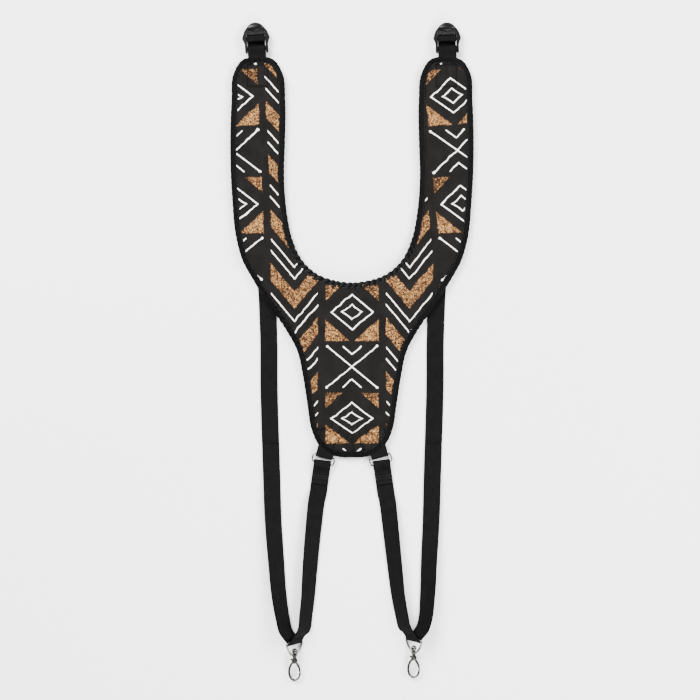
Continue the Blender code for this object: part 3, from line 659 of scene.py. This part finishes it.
def yoke_sheet(name, upper, look):
    """A fine sheet over the whole yoke, its rim hidden in the binding."""
    pitch = PANEL_GRID if upper else LINING_GRID
    xs = np.arange(*GRID_X, pitch)
    ys = np.arange(*GRID_Y, pitch)
    gx, gy = np.meshgrid(xs, ys)
    points = np.column_stack([gx.ravel(), gy.ravel()])
    inside, along = edge_distance(points)
    keep = inside > RIM
    index = np.full(len(points), -1)
    index[keep] = np.arange(keep.sum())
    x, y, d, s = points[keep, 0], points[keep, 1], inside[keep], along[keep]
    way = 1 if upper else -1
    z = PAD_MIDDLE + way * (SHEET_RISE + crown_height(d) * (1 if upper else LINING_CROWN))
    fade = np.exp(-np.clip(d - 7 * MM, 0, None) / (5.5 * MM))
    ripple = np.sin(2 * math.pi * s / (7.4 * MM) + 5 * low_noise(x, y, 40, 3))
    z += way * pucker(x, y) * fade * ripple * 0.42 * MM
    z += way * 0.35 * MM * low_noise(x, y, 45, 1) + way * 0.18 * MM * low_noise(x, y, 130, 2)
    fold = creases(x, y, d) if upper else np.zeros(len(x))
    z -= fold * 0.8 * MM
    cell = index.reshape(len(ys), len(xs))
    quads = np.stack([cell[:-1, :-1], cell[:-1, 1:], cell[1:, 1:], cell[1:, :-1]], axis=2).reshape(-1, 4)
    quads = quads[(quads >= 0).all(axis=1)]
    if not upper:
        quads = quads[:, ::-1]
    obj = mesh_object(name, np.column_stack([x, y, z]), quads.tolist(), look)
    u, v = cloth_coordinates(x, y)
    attribute(obj, "cloth", np.column_stack([u, v, d / MM]))
    # The folds' depth, which the print's colour darkens by as painted shade.
    attribute(obj, "fold", np.column_stack([fold, d * 0, d * 0]))
    return obj


def tape_section():
    """The binding's cross-section as (inset, height above the yoke's middle), outer face then inner."""
    upper = [(8.3, 1.5), (8.1, 2.25), (7.2, 2.55), (5.4, 2.6), (3.4, 2.4), (1.7, 1.8), (0.5, 0.95), (0, 0)]
    outer = upper + [(inset, -height) for inset, height in reversed(upper[:-1])]
    inner = [(7.4, -1.2), (3.0, -0.9), (3.0, 0.9), (7.4, 1.2)]
    outer = smooth_path([Vector((a, b, 0)) for a, b in outer], 2)
    return np.array([(p.x, p.y) for p in outer] + inner) * MM


def yoke_binding(look):
    """The folded tape round the whole edge, gathered into rope-like puckers where the edge curves in."""
    line, inwards, at = yoke_edge(0.85 * MM)
    section = tape_section()
    around = len(section)
    gather = pucker(line[:, 0], line[:, 1])
    rough = low_noise(line[:, 0], line[:, 1], 60, 7)
    verts, tape = [], []
    for i, (point, inward, s) in enumerate(zip(line, inwards, at)):
        phase = 2 * math.pi * s / (6.7 * MM) + 2.5 * rough[i]
        for inset, height in section:
            ridge = abs(math.sin(phase / 2 - inset / MM * 0.3 * (1 if height > 0 else -1)))
            swell = 1 + gather[i] * 0.6 * (ridge - 0.8) + 0.08 * rough[i]
            out = inset + gather[i] * 1.3 * MM * (1 - ridge) * (inset < 6 * MM)
            spot = point + inward * out
            verts.append((spot[0], spot[1], PAD_MIDDLE + height * swell))
            tape.append((s / MM, inset / MM + (20 if height < 0 else 0), gather[i] * ridge**2))
    obj = mesh_object("yoke_binding", verts, tube_faces(len(line), around, True), look)
    attribute(obj, "tape", tape)
    return obj


def stitch_row(name, spots, ways, look, length=2.1 * MM, radius=0.17 * MM):
    """Separate stitches: a short raised loop of thread at each spot."""
    verts, faces = [], []
    profile = [(-0.5, -0.5), (-0.42, 0.35), (-0.2, 0.85), (0.2, 0.85), (0.42, 0.35), (0.5, -0.5)]
    for spot, way in zip(spots, ways):
        way = Vector(way).normalized()
        up = Vector((0, 0, 1))
        side = way.cross(up).normalized()
        base = len(verts)
        for along, rise in profile:
            centre = Vector(spot) + way * along * length + up * rise * radius
            for k in range(6):
                angle = k * math.pi / 3
                verts.append(centre + (side * math.cos(angle) + up * math.sin(angle)) * radius)
        faces += [tuple(base + v for v in face) for face in tube_faces(len(profile), 6, False)]
    return mesh_object(name, verts, faces, look)


def binding_stitches(look):
    """The seam that runs along the binding's inner edge."""
    line, inwards, at = yoke_edge(3.2 * MM)
    ways = np.roll(line, -1, axis=0) - np.roll(line, 1, axis=0)
    spots = [(*(point + inward * 6.9 * MM), PAD_MIDDLE + 2.68 * MM) for point, inward in zip(line, inwards)]
    return stitch_row("binding_stitches", spots, [(*w, 0) for w in ways], look)


# ---- webbing

def web_section():
    """Cross-section of the webbing as (across, up): flat faces and slightly rolled selvedges."""
    w, t = WEB_WIDTH / 2, WEB / 2
    top = [(-w, 0), (-w + 0.12 * MM, t * 0.8), (-w + 0.6 * MM, t * 1.05), (-w + 1.5 * MM, t * 0.94),
           (-w / 3, t * 0.9), (w / 3, t * 0.9), (w - 1.5 * MM, t * 0.94), (w - 0.6 * MM, t * 1.05),
           (w - 0.12 * MM, t * 0.8), (w, 0)]
    return top + [(x, -y) for x, y in reversed(top[1:-1])]


def ribbon(name, stations, look, spread=1.0):
    """Webbing through stations of (middle, width direction, normal), spread times its free width."""
    section = web_section()
    verts, web = [], []
    length = 0.0
    last = None
    for middle, across, normal in stations:
        length += (middle - last).length if last else 0.0
        last = middle
        for x, y in section:
            verts.append(middle + across * x * spread + normal * y)
            web.append((length / MM, x / MM, y / MM))
    obj = mesh_object(name, verts, tube_faces(len(stations), len(section), False), look)
    attribute(obj, "web", web)
    return obj


def flat_stations(path, matrix, pitch=1.2 * MM):
    """Stations for webbing folded in a frame's (y, z) plane and lying across its x."""
    line, _ = evenly([Vector((y, z, 0)) for y, z in path], pitch)
    along = np.gradient(line, axis=0)
    turn = matrix.to_3x3()
    stations = []
    for (y, z, _), (dy, dz, _) in zip(line, along):
        normal = Vector((0, -dz, dy)).normalized()
        stations.append((matrix @ Vector((0, y, z)), turn @ Vector((1, 0, 0)), turn @ normal))
    return stations


def free_stations(points, banks, sign, pitch=2.5 * MM, bar=None):
    """Stations for a run that rolls onto its edge by the banks given and ends lying along a bar."""
    path = smooth_path([(*point, bank) for point, bank in zip(points, banks)], 8)
    line, at = evenly(path, pitch)
    along = np.gradient(line[:, :3], axis=0)
    stations = []
    for (x, y, z, bank), way, here in zip(line, along, at):
        way = Vector(way).normalized()
        level = Vector((-way.y, way.x, 0)).normalized()
        level *= 1 if level.x * sign > 0 else -1
        up = way.cross(level).normalized()
        up *= 1 if up.z > 0 else -1
        across = (level * math.cos(bank) + up * math.sin(bank)) * sign
        if bar:
            share = max(0, 1 - (at[-1] - here) / FOLD_BLEND)
            across = across.lerp(bar, share * share * (3 - 2 * share)).normalized()
        normal = way.cross(across).normalized()
        stations.append((Vector((x, y, z)), across, normal * (1 if normal.z > 0 else -1)))
    return stations


def web_height(bank):
    """Height of the webbing's middle when its lower edge rests on the table."""
    return (WEB_WIDTH / 2 + EDGE_LIFT) * math.sin(bank) + WEB / 2 * math.cos(bank)


def thread_path():
    """The strap's end in the buckle's frame: folded stop, under the tab, over the middle bar, down."""
    near, far = MIDDLE_BAR[0] - WEB_OFFSET, MIDDLE_BAR[1] + WEB_OFFSET
    top = WEB_OFFSET + 1.0 * MM
    corner = 0.9 * MM
    turn = TOOTH_BAR - far
    under = -PLATE_HALF - turn
    path = [(near, -LOAD_LEG)]
    path += arc((near + corner, top - corner), corner, 180, 90, 6)
    path += arc((far - corner, top - corner), corner, 90, 0, 6)
    path += arc((TOOTH_BAR, -PLATE_HALF), turn, 180, 270, 6)
    path += [(STOP_FOLD, under)]
    path += arc((STOP_FOLD, under - 0.85 * MM), 0.85 * MM, 60, -90, 6)
    return path + [(STOP_FOLD - 5 * MM, under - 1.7 * MM)]


def upper_points(side):
    """Centreline of the run under the arm, from the buckle to the bend beside the tongue."""
    sign = SIDES[side]["sign"]
    buckle = buckle_frame(side)
    turn_y = MIDDLE_BAR[0] - WEB_OFFSET
    flat = WEB / 2
    bend = 2.0 * MM
    knee = arc((turn_y - bend, flat + bend - BUCKLE[2]), bend, 0, -90, 4)
    leading = [(turn_y, -LOAD_LEG)] + knee + [(turn_y - bend - 3 * MM, flat - BUCKLE[2])]
    points = [buckle @ Vector((0, y, z)) for y, z in leading]
    route = [(109.0, 320), (108, 280), (107, 230), (105, 170), (101.5, 110), (97.5, 60), (95.8, 10),
             (95.6, -40), (94.6, -80), (93.6, -111)]
    return points + [Vector((sign * x * MM, y * MM, flat)) for x, y in route]


def leg_point(side, way, distance):
    """A point on a leg of the fold over the D loop's bar; way is 1 for the leg above it and -1 below."""
    outwards = -way * SIDES[side]["sign"] * FOLD_SLANT * distance
    return loop_frame(side) @ Vector((outwards, distance, way * FOLD_R))


def free_run(side, route, banks, way):
    """Points and banks of a free run, from the tongue's level down to the fold over the D loop."""
    sign = SIDES[side]["sign"]
    fold_x, fold_y = SIDES[side]["fold"]
    shift = sign * fold_x - FOLD_MIDDLE
    points = []
    for (x, y), bank in zip(route, banks):
        share = (y - route[0][1]) / (SPREAD_END - route[0][1])
        points.append(Vector((sign * (x * MM + shift * share**3), y * MM, web_height(math.radians(bank)))))
    points.append(Vector((fold_x - sign * way * NEAR_FOLD[0], fold_y + NEAR_FOLD[1], NEAR_FOLD[2])))
    points.append(leg_point(side, way, FOLD_LEG + 1 * MM))
    return points, [math.radians(bank) for bank in banks] + [HOOK_BANK, HOOK_BANK]


def outer_run(side):
    """The run that comes from under the arm, as points and banks."""
    outer = [(93.55, -111.6), (92.4, -147), (91, -193), (88.2, -239), (85.2, -285), (82.6, -306)]
    return free_run(side, outer, (0, 6, 14, 24, 34, 41), -1)


def inner_run(side):
    """The run that comes from the ring, as points and banks."""
    sign = SIDES[side]["sign"]
    strap = strap_frame(side)
    starts = [strap @ Vector((0, -RING_FOLD - distance, 0)) for distance in (1 * MM, 8 * MM)]
    inner = [(sign * start.x / MM, start.y / MM) for start in starts]
    inner += [(40.6, -170), (43.6, -195), (46.8, -226), (49.7, -256), (52.4, -283), (55.6, -303)]
    return free_run(side, inner, (0, 3, 12, 21, 28, 34, 40, 43), 1)


def loop_bar(side):
    """The direction of the D loop's bar."""
    return loop_frame(side).to_3x3() @ Vector((1, 0, 0))


def fold_stations(side):
    """The strap's fold over the D loop's bar, from the leg under it to the leg above it."""
    matrix = loop_frame(side)
    turn = matrix.to_3x3()
    across = loop_bar(side)
    stations = []
    for distance in (FOLD_LEG, FOLD_LEG / 2):
        stations.append((leg_point(side, -1, distance), across, turn @ Vector((0, 0, -1))))
    for angle in range(270, 89, -12):
        y, z = math.cos(math.radians(angle)), math.sin(math.radians(angle))
        stations.append((matrix @ Vector((0, y * FOLD_R, z * FOLD_R)), across, turn @ Vector((0, y, z))))
    for distance in (FOLD_LEG / 2, FOLD_LEG):
        stations.append((leg_point(side, 1, distance), across, turn @ Vector((0, 0, 1))))
    return stations


def ring_end_path():
    """The strap's sewn end in the strap frame: off the table, round the ring's bar and back on itself."""
    table = WEB / 2 - RING_Z
    path = [(-RING_FOLD, table), (-10 * MM, table), (LOOP_SLACK - 2.4 * MM, -RING_LOOP)]
    path += arc((LOOP_SLACK, 0), RING_LOOP, -80, 90, 16)
    folded = table + WEB
    return path + [(-2.6 * MM, RING_LOOP), (-9 * MM, folded + 0.45 * MM), (-24 * MM, folded + 0.2 * MM)]


def ring_end_height(back):
    """Height of the folded layer's face in the strap frame, a distance back from the ring's bar."""
    share = (back - 9 * MM) / (15 * MM)
    return WEB / 2 - RING_Z + WEB * 1.5 + (0.5 - 0.25 * share) * MM


def run_stations(side, outer_stations):
    """The outer run, the fold over the D loop, the inner run and the sewn end round the ring."""
    inner, banks = inner_run(side)
    inner_stations = free_stations(inner, banks, SIDES[side]["sign"], bar=loop_bar(side))[::-1]
    sewn_end = flat_stations(ring_end_path(), strap_frame(side), 0.8 * MM)
    stations = list(outer_stations)
    for piece in (fold_stations(side), inner_stations, sewn_end):
        stations += match_face(stations[-1], piece)
    return stations


def bent_webbing(name, stations, looks, nodes=()):
    """Webbing through the stations between two bodies, as one mesh that no body carries."""
    piece = ribbon(name, stations, looks["webbing"])
    ride(piece, None, "webbing", *nodes)
    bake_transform(piece)
    path = [middle for middle, _, _ in stations]
    length = sum((b - a).length for a, b in zip(path, path[1:]))


def strap_seams(side, looks):
    """Three rows of stitches that hold the strap's folded end at the ring."""
    sewn = strap_frame(side)
    way = sewn.to_3x3() @ Vector((1, 0, 0))
    for number, back in enumerate(RING_SEAMS):
        spots = [sewn @ Vector((x * MM, -back, ring_end_height(back))) for x in np.linspace(-8.4, 8.4, 7)]
        seam = stitch_row(f"{side}_strap_seam_{number}", spots, [way] * len(spots), looks["thread"])
        ride(seam, f"{side}_strap", "webbing")


def strap(side, looks):
    """One strap: its threaded end, the run under the arm, the bend, and the free runs with their folds."""
    sign, body, ring_body = SIDES[side]["sign"], f"{side}_strap", f"{side}_ring_body"
    buckle, ring = buckle_frame(side), ring_frame(side)
    threaded = flat_stations(thread_path(), buckle, 0.5 * MM)
    end = ribbon(f"{body}_end", threaded, looks["webbing"], PRESSED)
    ride(end, f"{side}_buckle", "webbing", f"{body}_thread")
    hidden = upper_points(side)
    leading = hidden[-BEND_POINTS:]
    outer, banks = outer_run(side)
    below = free_stations(leading + outer[1:], [0] * BEND_POINTS + banks[1:], sign, bar=loop_bar(side))
    above = [s for s in free_stations(hidden, [0] * len(hidden), sign) if s[0].y > leading[0].y]
    bent = [s for s in below if -(ring.inverted() @ s[0]).y < BEND_AT_RING[1] + BEND_MARGIN]
    bent_webbing(f"{body}_under_arm", above + below[:1], looks,
                 [f"{body}_upper"])
    bent_webbing(f"{body}_bend", bent, looks)
    run = run_stations(side, below[len(bent) - 1:])
    bent_webbing(f"{body}_run", run, looks,
                 [f"{body}_{part}" for part in ("outer", "inner", "hook_fold", "ring_loop")])
    strap_seams(side, looks)


def match_face(previous, stations):
    """Turns stations so that their faces follow on from the previous station without a flip."""
    if previous[1].dot(stations[0][1]) < 0:
        stations = [(middle, -side, normal) for middle, side, normal in stations]
    if previous[2].dot(stations[0][2]) < 0:
        stations = [(middle, side, -normal) for middle, side, normal in stations]
    return stations


def buckle_tab(side, looks):
    """The sewn loop of webbing round the ladder lock's anchor bar."""
    leg = (WEB + 0.3 * MM) / 2
    drop = PAD_MIDDLE - BUCKLE[2]
    inner = -8.5 * MM - TAB_DEPTH
    path = [(inner, drop + leg), (-9.5 * MM, drop + leg), (-6.5 * MM, drop + leg + 0.6 * MM)]
    path += arc((0, 0), ANCHOR_LOOP, 125, -125, 20)
    path += [(-6.5 * MM, drop - leg - 0.6 * MM), (-9.5 * MM, drop - leg), (inner, drop - leg)]
    tab = ribbon(f"{side}_buckle_tab_webbing", flat_stations(path, buckle_frame(side), 0.8 * MM),
                 looks["webbing"], PRESSED)
    ride(tab, "yoke", "webbing", f"{side}_buckle_tab")


def ring_tab(side, looks):
    """The sewn loop of webbing round the ring's upper bar."""
    leg = (WEB + 0.3 * MM) / 2
    rise = PAD_MIDDLE - RING_Z
    inner = TAB_EXIT + TAB_DEPTH
    path = [(inner, rise + leg), (TAB_EXIT, rise + leg)]
    path += arc((RING_SPACING / 2, 0), RING_LOOP, 70, 290, 20)
    path += [(TAB_EXIT, rise - leg), (inner, rise - leg)]
    tab = ribbon(f"{side}_ring_tab_webbing", flat_stations(path, ring_frame(side), 0.8 * MM),
                 looks["webbing"])
    ride(tab, "yoke", "webbing", f"{side}_ring_tab")


# ---- hardware

def wire(name, points, radius, look, closed=False, taper=1.0, around=14):
    """A round wire through the points, with domed ends; its last end is taper times as thick."""
    line = np.array([p[:] for p in points])
    along = np.roll(line, -1, axis=0) - np.roll(line, 1, axis=0) if closed else np.gradient(line, axis=0)
    verts = []
    side = Vector((0, 0, 1)).cross(Vector(along[0])).normalized()
    centres = [(Vector(p), Vector(w).normalized(), 1 + (taper - 1) * i / (len(line) - 1))
               for i, (p, w) in enumerate(zip(line, along))]
    if not closed:
        first, last = centres[0], centres[-1]
        dome = [(math.sin(a), math.cos(a)) for a in (0.2, 0.6, 1.0, 1.3)]
        centres = ([(first[0] - first[1] * radius * out, first[1], size) for size, out in dome] + centres
                   + [(last[0] + last[1] * radius * taper * out, last[1], size * taper)
                      for size, out in reversed(dome)])
    for centre, way, size in centres:
        side = (side - way * side.dot(way)).normalized()
        up = way.cross(side)
        for k in range(around):
            angle = 2 * math.pi * k / around
            verts.append(centre + (side * math.cos(angle) + up * math.sin(angle)) * radius * size)
    return mesh_object(name, verts, tube_faces(len(centres), around, closed), look)


def turned(name, outline, look, around=28):
    """A shape turned about its local Y from (radius, y) points; both ends lie on the axis."""
    verts = []
    for radius, y in outline:
        for k in range(around):
            angle = 2 * math.pi * k / around
            verts.append((radius * math.cos(angle), y, radius * math.sin(angle)))
    return mesh_object(name, verts, tube_faces(len(outline), around, False), look)


def rounded(obj, width):
    """Rounds a plate's sharp edges over and shades it smooth."""
    bevel = obj.modifiers.new("round", "BEVEL")
    bevel.width = width
    bevel.segments = 3
    bevel.limit_method = "ANGLE"
    bevel.angle_limit = math.radians(30)
    return baked(obj)


def baked(obj, sharp=40):
    """Replaces an object's mesh with its modifiers' result, shaded smooth up to its sharp edges."""
    made = bpy.data.meshes.new_from_object(obj.evaluated_get(bpy.context.evaluated_depsgraph_get()))
    obj.modifiers.clear()
    obj.data = made
    made.shade_smooth()
    made.set_sharp_from_angle(angle=math.radians(sharp))
    return obj


def placed(obj, matrix):
    """Moves a mesh's points by a matrix, so that the object itself stays at the origin."""
    obj.data.transform(matrix)
    return obj


def outline_plate(name, outline, low, high, look):
    """A flat plate of a closed outline between two heights."""
    count = len(outline)
    verts = [(x, y, low) for x, y in outline] + [(x, y, high) for x, y in outline]
    faces = [tuple(reversed(range(count))), tuple(range(count, 2 * count))]
    faces += [(i, (i + 1) % count, count + (i + 1) % count, count + i) for i in range(count)]
    return mesh_object(name, verts, faces, look)


def ring_wire(side, looks):
    """The rectangular wire ring."""
    x, y = RING_HALF - RING_CORNER, RING_SPACING / 2 - RING_CORNER
    points = []
    for sx, sy, first in ((1, -1, -90), (1, 1, 0), (-1, 1, 90), (-1, -1, 180)):
        points += arc((sx * x, sy * y), RING_CORNER, first, first + 90, 8)
    matrix = ring_frame(side)
    ring = wire(f"{side}_ring_wire", [matrix @ Vector((px, py, 0)) for px, py in points], RING_WIRE,
                looks["wire"], closed=True)
    ride(ring, f"{side}_ring_body", "ring_wire", f"{side}_ring")


def d_loop(side, looks):
    """The D loop: its wire, and the collar that the swivel turns in."""
    half = smooth_path(mm_points([(10.6, 0), (11.5, -0.4), (11.8, -1.4), (11.2, -4.6), (9.4, -8.6),
                                  (6.6, -12.2), (3.6, -14.9), (2.2, -15.6)]), 5)
    points = half[::-1] + [Vector((-p.x, p.y, 0)) for p in half]
    matrix = loop_frame(side)
    loop = wire(f"{side}_d_wire", [matrix @ p for p in points], D_WIRE, looks["wire"])
    ride(loop, f"{side}_loop", "hook_metal", f"{side}_hook_loop")
    near, far = COLLAR
    outline = [(0, -near), (2.3 * MM, -near), (2.9 * MM, -near - 0.2 * MM), (3.15 * MM, -near - 0.8 * MM),
               (3.15 * MM, -far + 0.8 * MM), (2.9 * MM, -far + 0.2 * MM), (2.3 * MM, -far), (0, -far)]
    collar = placed(turned(f"{side}_collar", outline, looks["nickel"]), matrix)
    ride(collar, f"{side}_loop", "hook_metal")


def swivel(side, looks):
    """The swivel's round head above the collar, its shank and its foot on the hook."""
    neck = math.asin(1.3 * MM / BALL_R)
    outline = [(BALL_R * math.sin(a), -D_BALL + BALL_R * math.cos(a))
               for a in np.linspace(0, math.pi - neck, 16)]
    foot = PIVOT - BOSS_R
    outline += [(1.3 * MM, -COLLAR[1] - 0.3 * MM), (1.9 * MM, -COLLAR[1] - 0.35 * MM),
                (2.15 * MM, -COLLAR[1] - 0.6 * MM), (2.15 * MM, -foot + 0.5 * MM),
                (1.8 * MM, -foot - 0.1 * MM), (0, -foot - 0.1 * MM)]
    post = placed(turned(f"{side}_swivel_head", outline, looks["nickel"]), hook_frame(side))
    ride(post, f"{side}_hook", "hook_metal", f"{side}_swivel_post")


def pivot_frame(side):
    """Frame on the gate's pin: x across the hook, y towards the D loop, z along the pin."""
    return hook_frame(side) @ Matrix.Translation((0, -PIVOT, 0))


def hook_eye(side, looks):
    """The hook's wire round its eye, under a domed boss of two cheeks."""
    matrix = pivot_frame(side)
    path = smooth_path(mm_points([(-2.0, -2.4), (-4.3, -5.6), (-6.0, -10.4), (-6.3, -15), (-4.6, -20.4),
                                  (0, -23.4), (4.4, -20.9), (6.25, -15.3)]), 7)
    eye = wire(f"{side}_eye_wire", [matrix @ p for p in path], EYE_WIRE, looks["nickel"], taper=EYE_TAPER)
    ride(eye, f"{side}_hook", "hook_metal", f"{side}_hook_body")
    disc = arc((0, 0), BOSS_R, 0, 360, 32)[:-1]
    for name, low, high in (("upper", CHEEK[0], CHEEK[1]), ("lower", -CHEEK[1], -CHEEK[0])):
        cheek = outline_plate(f"{side}_{name}_cheek", disc, low, high, looks["nickel"])
        ride(placed(rounded(cheek, 0.35 * MM), matrix), f"{side}_hook", "hook_metal")
    corners = [(x * MM, y * MM) for x, y in ((-0.2, 2.45), (2.0, 2.45), (2.0, 3.6), (-0.2, 3.6))]
    bridge = outline_plate(f"{side}_bridge", corners, -CHEEK[1], CHEEK[1], looks["nickel"])
    ride(placed(rounded(bridge, 0.4 * MM), matrix), f"{side}_hook", "hook_metal")


def sprung_gate(side, looks):
    """The gate: thumb ear and knuckle cut from plate, with the arm's wire down to the nose."""
    matrix = pivot_frame(side)
    lever = [(-1.6, 1.3), (-4.2, 2.3), (-5.0, 1.5), (-4.5, 0.4), (-1.9, -0.4), (-1.3, -1.5), (-0.2, -2.0),
             (1.5, -4.2), (3.1, -3.4), (2.0, -0.4), (1.6, 1.2), (0, 2.0)]
    outline = [p.xy for p in smooth_path(mm_points(lever), 3, closed=True)]
    ear = outline_plate(f"{side}_thumb_ear", outline, KNUCKLE[0], KNUCKLE[1], looks["nickel"])
    ride(placed(rounded(ear, 0.3 * MM), matrix), f"{side}_gate_lever", "hook_metal", f"{side}_gate")
    arm = smooth_path(mm_points([(2.1, -2.9), (3.9, -5.9), (5.6, -10), (6.2, -13.6)]), 7)
    rod = wire(f"{side}_gate_arm", [matrix @ p for p in arm], GATE_WIRE, looks["nickel"], taper=GATE_TAPER)
    ride(rod, f"{side}_gate_lever", "hook_metal")


def ladder_lock(side, looks):
    """The moulded buckle, with every edge rounded over."""
    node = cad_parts[f"{side}_ladder_lock"]
    lock = bpy.data.objects.new(f"{side}_moulded_buckle", node.data.copy())
    bpy.context.scene.collection.objects.link(lock)
    cast = lock.modifiers.new("cast", "REMESH")
    cast.mode = "VOXEL"
    cast.voxel_size = 0.25 * MM
    smooth = lock.modifiers.new("smooth", "SMOOTH")
    smooth.factor = 0.5
    smooth.iterations = 5
    baked(lock, 180).data.materials.clear()
    lock.data.materials.append(looks["plastic"])
    ride(lock, f"{side}_buckle", "buckle_plastic", f"{side}_ladder_lock")


# ---- stage

def floor():
    """A white floor just under the harness."""
    bpy.ops.mesh.primitive_plane_add(size=20, location=(0, 0, -0.0002))
    plane = bpy.context.object
    plane.name = "floor"
    look = Look("floor_white", roughness=0.9)
    cloud = look.noise(look.vector(), 2.0)
    look.colour(look.between(cloud, (0.93, 0.93, 0.93), (0.95, 0.95, 0.95)))
    plane.data.materials.append(look.material)


def lights():
    """A white surround and three broad soft lamps."""
    world = bpy.data.worlds.new("studio")
    world.use_nodes = True
    background = world.node_tree.nodes["Background"]
    background.inputs["Color"].default_value = (1, 1, 1, 1)
    background.inputs["Strength"].default_value = 0.6
    bpy.context.scene.world = world
    lamps = (("key", (-1.3, 1.5, 1.9), 270, 1.5), ("fill", (1.7, 0.5, 1.6), 120, 1.2),
             ("low", (0.5, -1.9, 1.2), 80, 1.0))
    for name, spot, power, size in lamps:
        lamp = bpy.data.lights.new(name, "AREA")
        lamp.energy = power
        lamp.size = size
        obj = bpy.data.objects.new(name, lamp)
        obj.location = spot
        obj.rotation_euler = (-Vector(spot)).to_track_quat("-Z", "Y").to_euler()
        bpy.context.scene.collection.objects.link(obj)


def camera():
    """A long lens straight above, wide enough for the whole harness."""
    view = bpy.data.objects.new("camera", bpy.data.cameras.new("camera"))
    view.data.lens = 110
    width = 0.805
    height = width * view.data.lens / view.data.sensor_width
    view.location = (-0.0023, 0.0023, height + PAD_MIDDLE)
    view.rotation_euler = (0, 0, 0)
    bpy.context.scene.collection.objects.link(view)
    bpy.context.scene.camera = view


def yoke(looks):
    """The yoke: its printed panel, its lining, and the binding with its seam."""
    panel = yoke_sheet("yoke_printed_panel", True, looks["print"])
    ride(panel, "yoke", "print_cotton", "yoke_front_panel", "yoke_foam")
    lining = yoke_sheet("yoke_lining_panel", False, looks["lining"])
    ride(lining, "yoke", "lining", "yoke_back_lining")
    binding = yoke_binding(looks["tape"])
    ride(binding, "yoke", "binding", "edge_binding")
    ride(binding_stitches(looks["thread"]), "yoke", "binding")


def main():
    looks = {
        "print": print_look(),
        "lining": lining_look(),
        "tape": tape_look(),
        "webbing": webbing_look(),
        "thread": thread_look(),
        "plastic": plastic_look(),
        "nickel": nickel_look("nickel_plate", 0.16, 0.03, 0.12),
        "wire": nickel_look("nickel_wire", 0.2, 0.08, 0.22),
        "steel": nickel_look("plain_steel", 0.34, 0.1, 0.2),
    }
    for prepare in (floor, lights, camera):
        prepare()
    yoke(looks)
    for side in SIDES:
        for piece in (buckle_tab, ring_tab, strap, ladder_lock, ring_wire, d_loop, swivel, hook_eye,
                      sprung_gate):
            piece(side, looks)
        for node in ("gate_pin", "gate_spring"):
            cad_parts[f"{side}_{node}"].material_slots[0].material = looks["steel"]


main()
